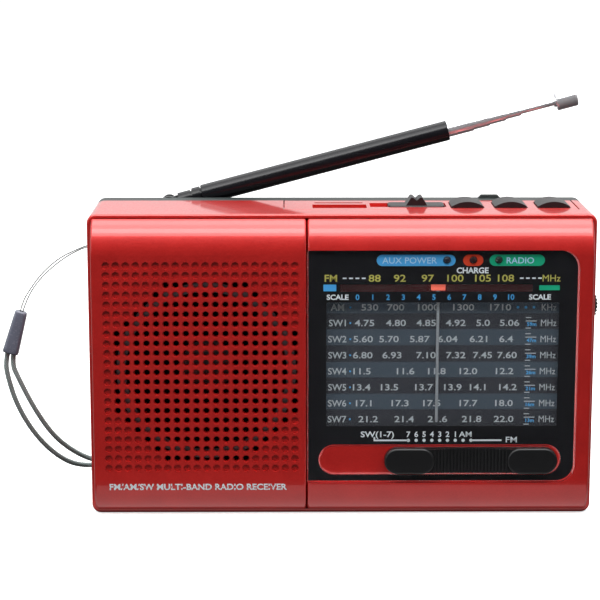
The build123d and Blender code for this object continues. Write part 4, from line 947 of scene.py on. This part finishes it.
# each row: band, unit, figures, and the x of each figure's middle in mm
TABLE_ROWS = (
    ("AM", "KHz", "530 700 1000 1300 1710", (9.0, 17.4, 28.0, 39.4, 51.4)),
    ("SW1", "MHz", "4.75 4.80 4.85 4.92 5.0 5.06", (7.3, 17.5, 27.3, 36.9, 45.8, 54.4)),
    ("SW2", "MHz", "5.60 5.70 5.87 6.04 6.21 6.4", (6.9, 15.3, 25.3, 34.4, 44.4, 53.4)),
    ("SW3", "MHz", "6.80 6.93 7.10 7.32 7.45 7.60", (6.8, 16.3, 27.4, 37.1, 45.8, 53.8)),
    ("SW4", "MHz", "11.5 11.6 11.8 12.0 12.2", (6.6, 20.8, 31.0, 41.3, 53.1)),
    ("SW5", "MHz", "13.4 13.5 13.7 13.9 14.1 14.2", (6.5, 15.6, 26.9, 36.3, 44.4, 54.3)),
    ("SW6", "MHz", "17.1 17.3 17.5 17.7 18.0", (7.2, 19.1, 29.5, 41.5, 53.1)),
    ("SW7", "MHz", "21.2 21.4 21.6 21.8 22.0", (8.7, 20.5, 31.4, 42.6, 53.1)),
)
METRE_BANDS = ("59m", "47m", "39m", "26m", "21m", "16m", "13m")
for shade, first in ((ink_row_pale, 0), (ink_row_deep, 1)):
    rows = [
        flat_mesh([rounded(-6.2, 71.4, ROW_EDGES[i + 1], ROW_EDGES[i], (0.05,) * 4, 3)], INK)
        for i in range(first, len(TABLE_ROWS), 2)
    ]
    upright(("table_pale", "table_deep")[first], *join(rows), TABLE_Y, shade)
figures, marks = [], []
for (band, unit, words, places), z in zip(TABLE_ROWS, ROW_Z):
    figures.append(label(band, -1.5, z, 2.1, 1.0, 0.014))
    figures.append(label(unit, 67.1, z, 2.15, 0.87, 0.0))
    figures += [label(figure, x, z, 2.0, 1.3, 0.014) for figure, x in zip(words.split(), places)]
    marks.append(flat_mesh([disc(2.7, z, 0.3, 12)], INK))
marks += [flat_mesh([disc(x, ROW_Z[0], 0.45, 12)], INK) for x in (57.0, 59.6, 62.2)]
for words, z in zip(METRE_BANDS, ROW_Z[1:]):
    marks.append(label(words, 61.6, z - 0.45, 1.15, 1.05, 0.02))
    for right, lift in ((61.4, 1.75), (63.2, 0.6), (61.4, -1.75)):
        figures += bars([(59.6, right)], z + lift, 0.28)
upright("table_figures", *join(figures), TABLE_LABEL_Y, ink_grey)
upright("table_marks", *join(marks), TABLE_LABEL_Y, ink_blue)
# the strip covers the plate's slit: the flag and needle stand for the pointer, and its arm isn't drawn
strip_edge = rounded(-2.5, 63.4, 74.0, 79.4, (0.1,) * 4, 3)
upright("pointer_strip", *flat_mesh([strip_edge], INK), TABLE_Y, ink_strip)

# %% [markdown]
# ## Words on the speaker panel
# One line of white type sits low on the panel, where the face begins to curve under. Its depth
# follows the crown's arc, y = front + r - sqrt(r^2 - d^2), with d the drop below the flat.

# %% Panel lettering
panel_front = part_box("speaker_panel")[0].y
CROWN_R = 13.75 * MM
FLAT_LOW = 12.5 * MM


def crown(z):
    """The panel's front face: flat above FLAT_LOW, a circular arc below it."""
    drop = np.clip(FLAT_LOW - z, 0.0, None)
    return panel_front + CROWN_R - np.sqrt(CROWN_R**2 - drop**2) - INK


panel_line = label("FM/AM/SW MULTI-BAND RADIO RECEIVER", -47.0, 10.6, 2.0, 1.05, 0.028)
upright("panel_words", *panel_line, crown, ink_white)

# %% [markdown]
# ## Pointer
# A red flag runs along the strip, with a thin grey needle down across the table. They are two
# mouldings on the same slide, so both ride on the pointer's body.

# %% Flag and needle
flag_low, flag_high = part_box("pointer")
POINTER_X = (flag_low.x + flag_high.x) / 2 / MM
FLAG_Y0, FLAG_Y1 = flag_low.y, flag_low.y + 0.9 * MM
FLAG_FOOT, FLAG_CORNER = 75.65, 0.25
NEEDLE_HALF, NEEDLE_TOP = 0.45, 76.0
EDGE_ROUND = 0.2


def tablet(name, outline_at, y_front, y_back, edge):
    """A flat moulding: its outline shrinks by edge over a quarter round at the front face."""
    t = np.linspace(0.0, np.pi / 2, 5)
    inset = edge * (1 - np.cos(t[::-1]))
    depth = y_front + edge * MM * (1 - np.sin(t[::-1]))
    outlines = [outline_at(0.0)] + [outline_at(float(i)) for i in inset[::-1]]
    depths = [y_back] + depth[::-1].tolist()
    rings = np.stack(
        [np.stack([o[:, 0] * MM, np.full(len(o), y), o[:, 1] * MM], 1) for o, y in zip(outlines, depths)]
    )
    return skin(name, rings)


def flag_outline(inset):
    """The flag's rectangle with 0.25 mm corners, pulled in by inset."""
    return rounded(
        flag_low.x / MM + inset, flag_high.x / MM - inset, FLAG_FOOT + inset, flag_high.z / MM - inset,
        (max(FLAG_CORNER - inset, 0.05),) * 4,
    )


def needle_outline(inset):
    """The needle's strip with a round lower end, pulled in by inset."""
    half = NEEDLE_HALF - inset
    low, high = flag_low.z / MM + inset, NEEDLE_TOP - inset
    return rounded(POINTER_X - half, POINTER_X + half, low, high, (half * 0.98,) * 2 + (0.02,) * 2)


needle_grey = finish("grey_moulded_needle", "#85898d", "#777b80", (0.3, 0.42), 0.3 * MM, 0.004 * MM)
flag_mesh = tablet("pointer_flag", flag_outline, FLAG_Y0, FLAG_Y1, EDGE_ROUND)
flag = show(flag_mesh, "pointer_flag", finishes["pointer_red"], "pointer")
needle_mesh = tablet("pointer_needle", needle_outline, FLAG_Y0 + 0.2 * MM, FLAG_Y1, EDGE_ROUND)
needle = show(needle_mesh, "pointer_needle", needle_grey, "pointer")
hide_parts("pointer")
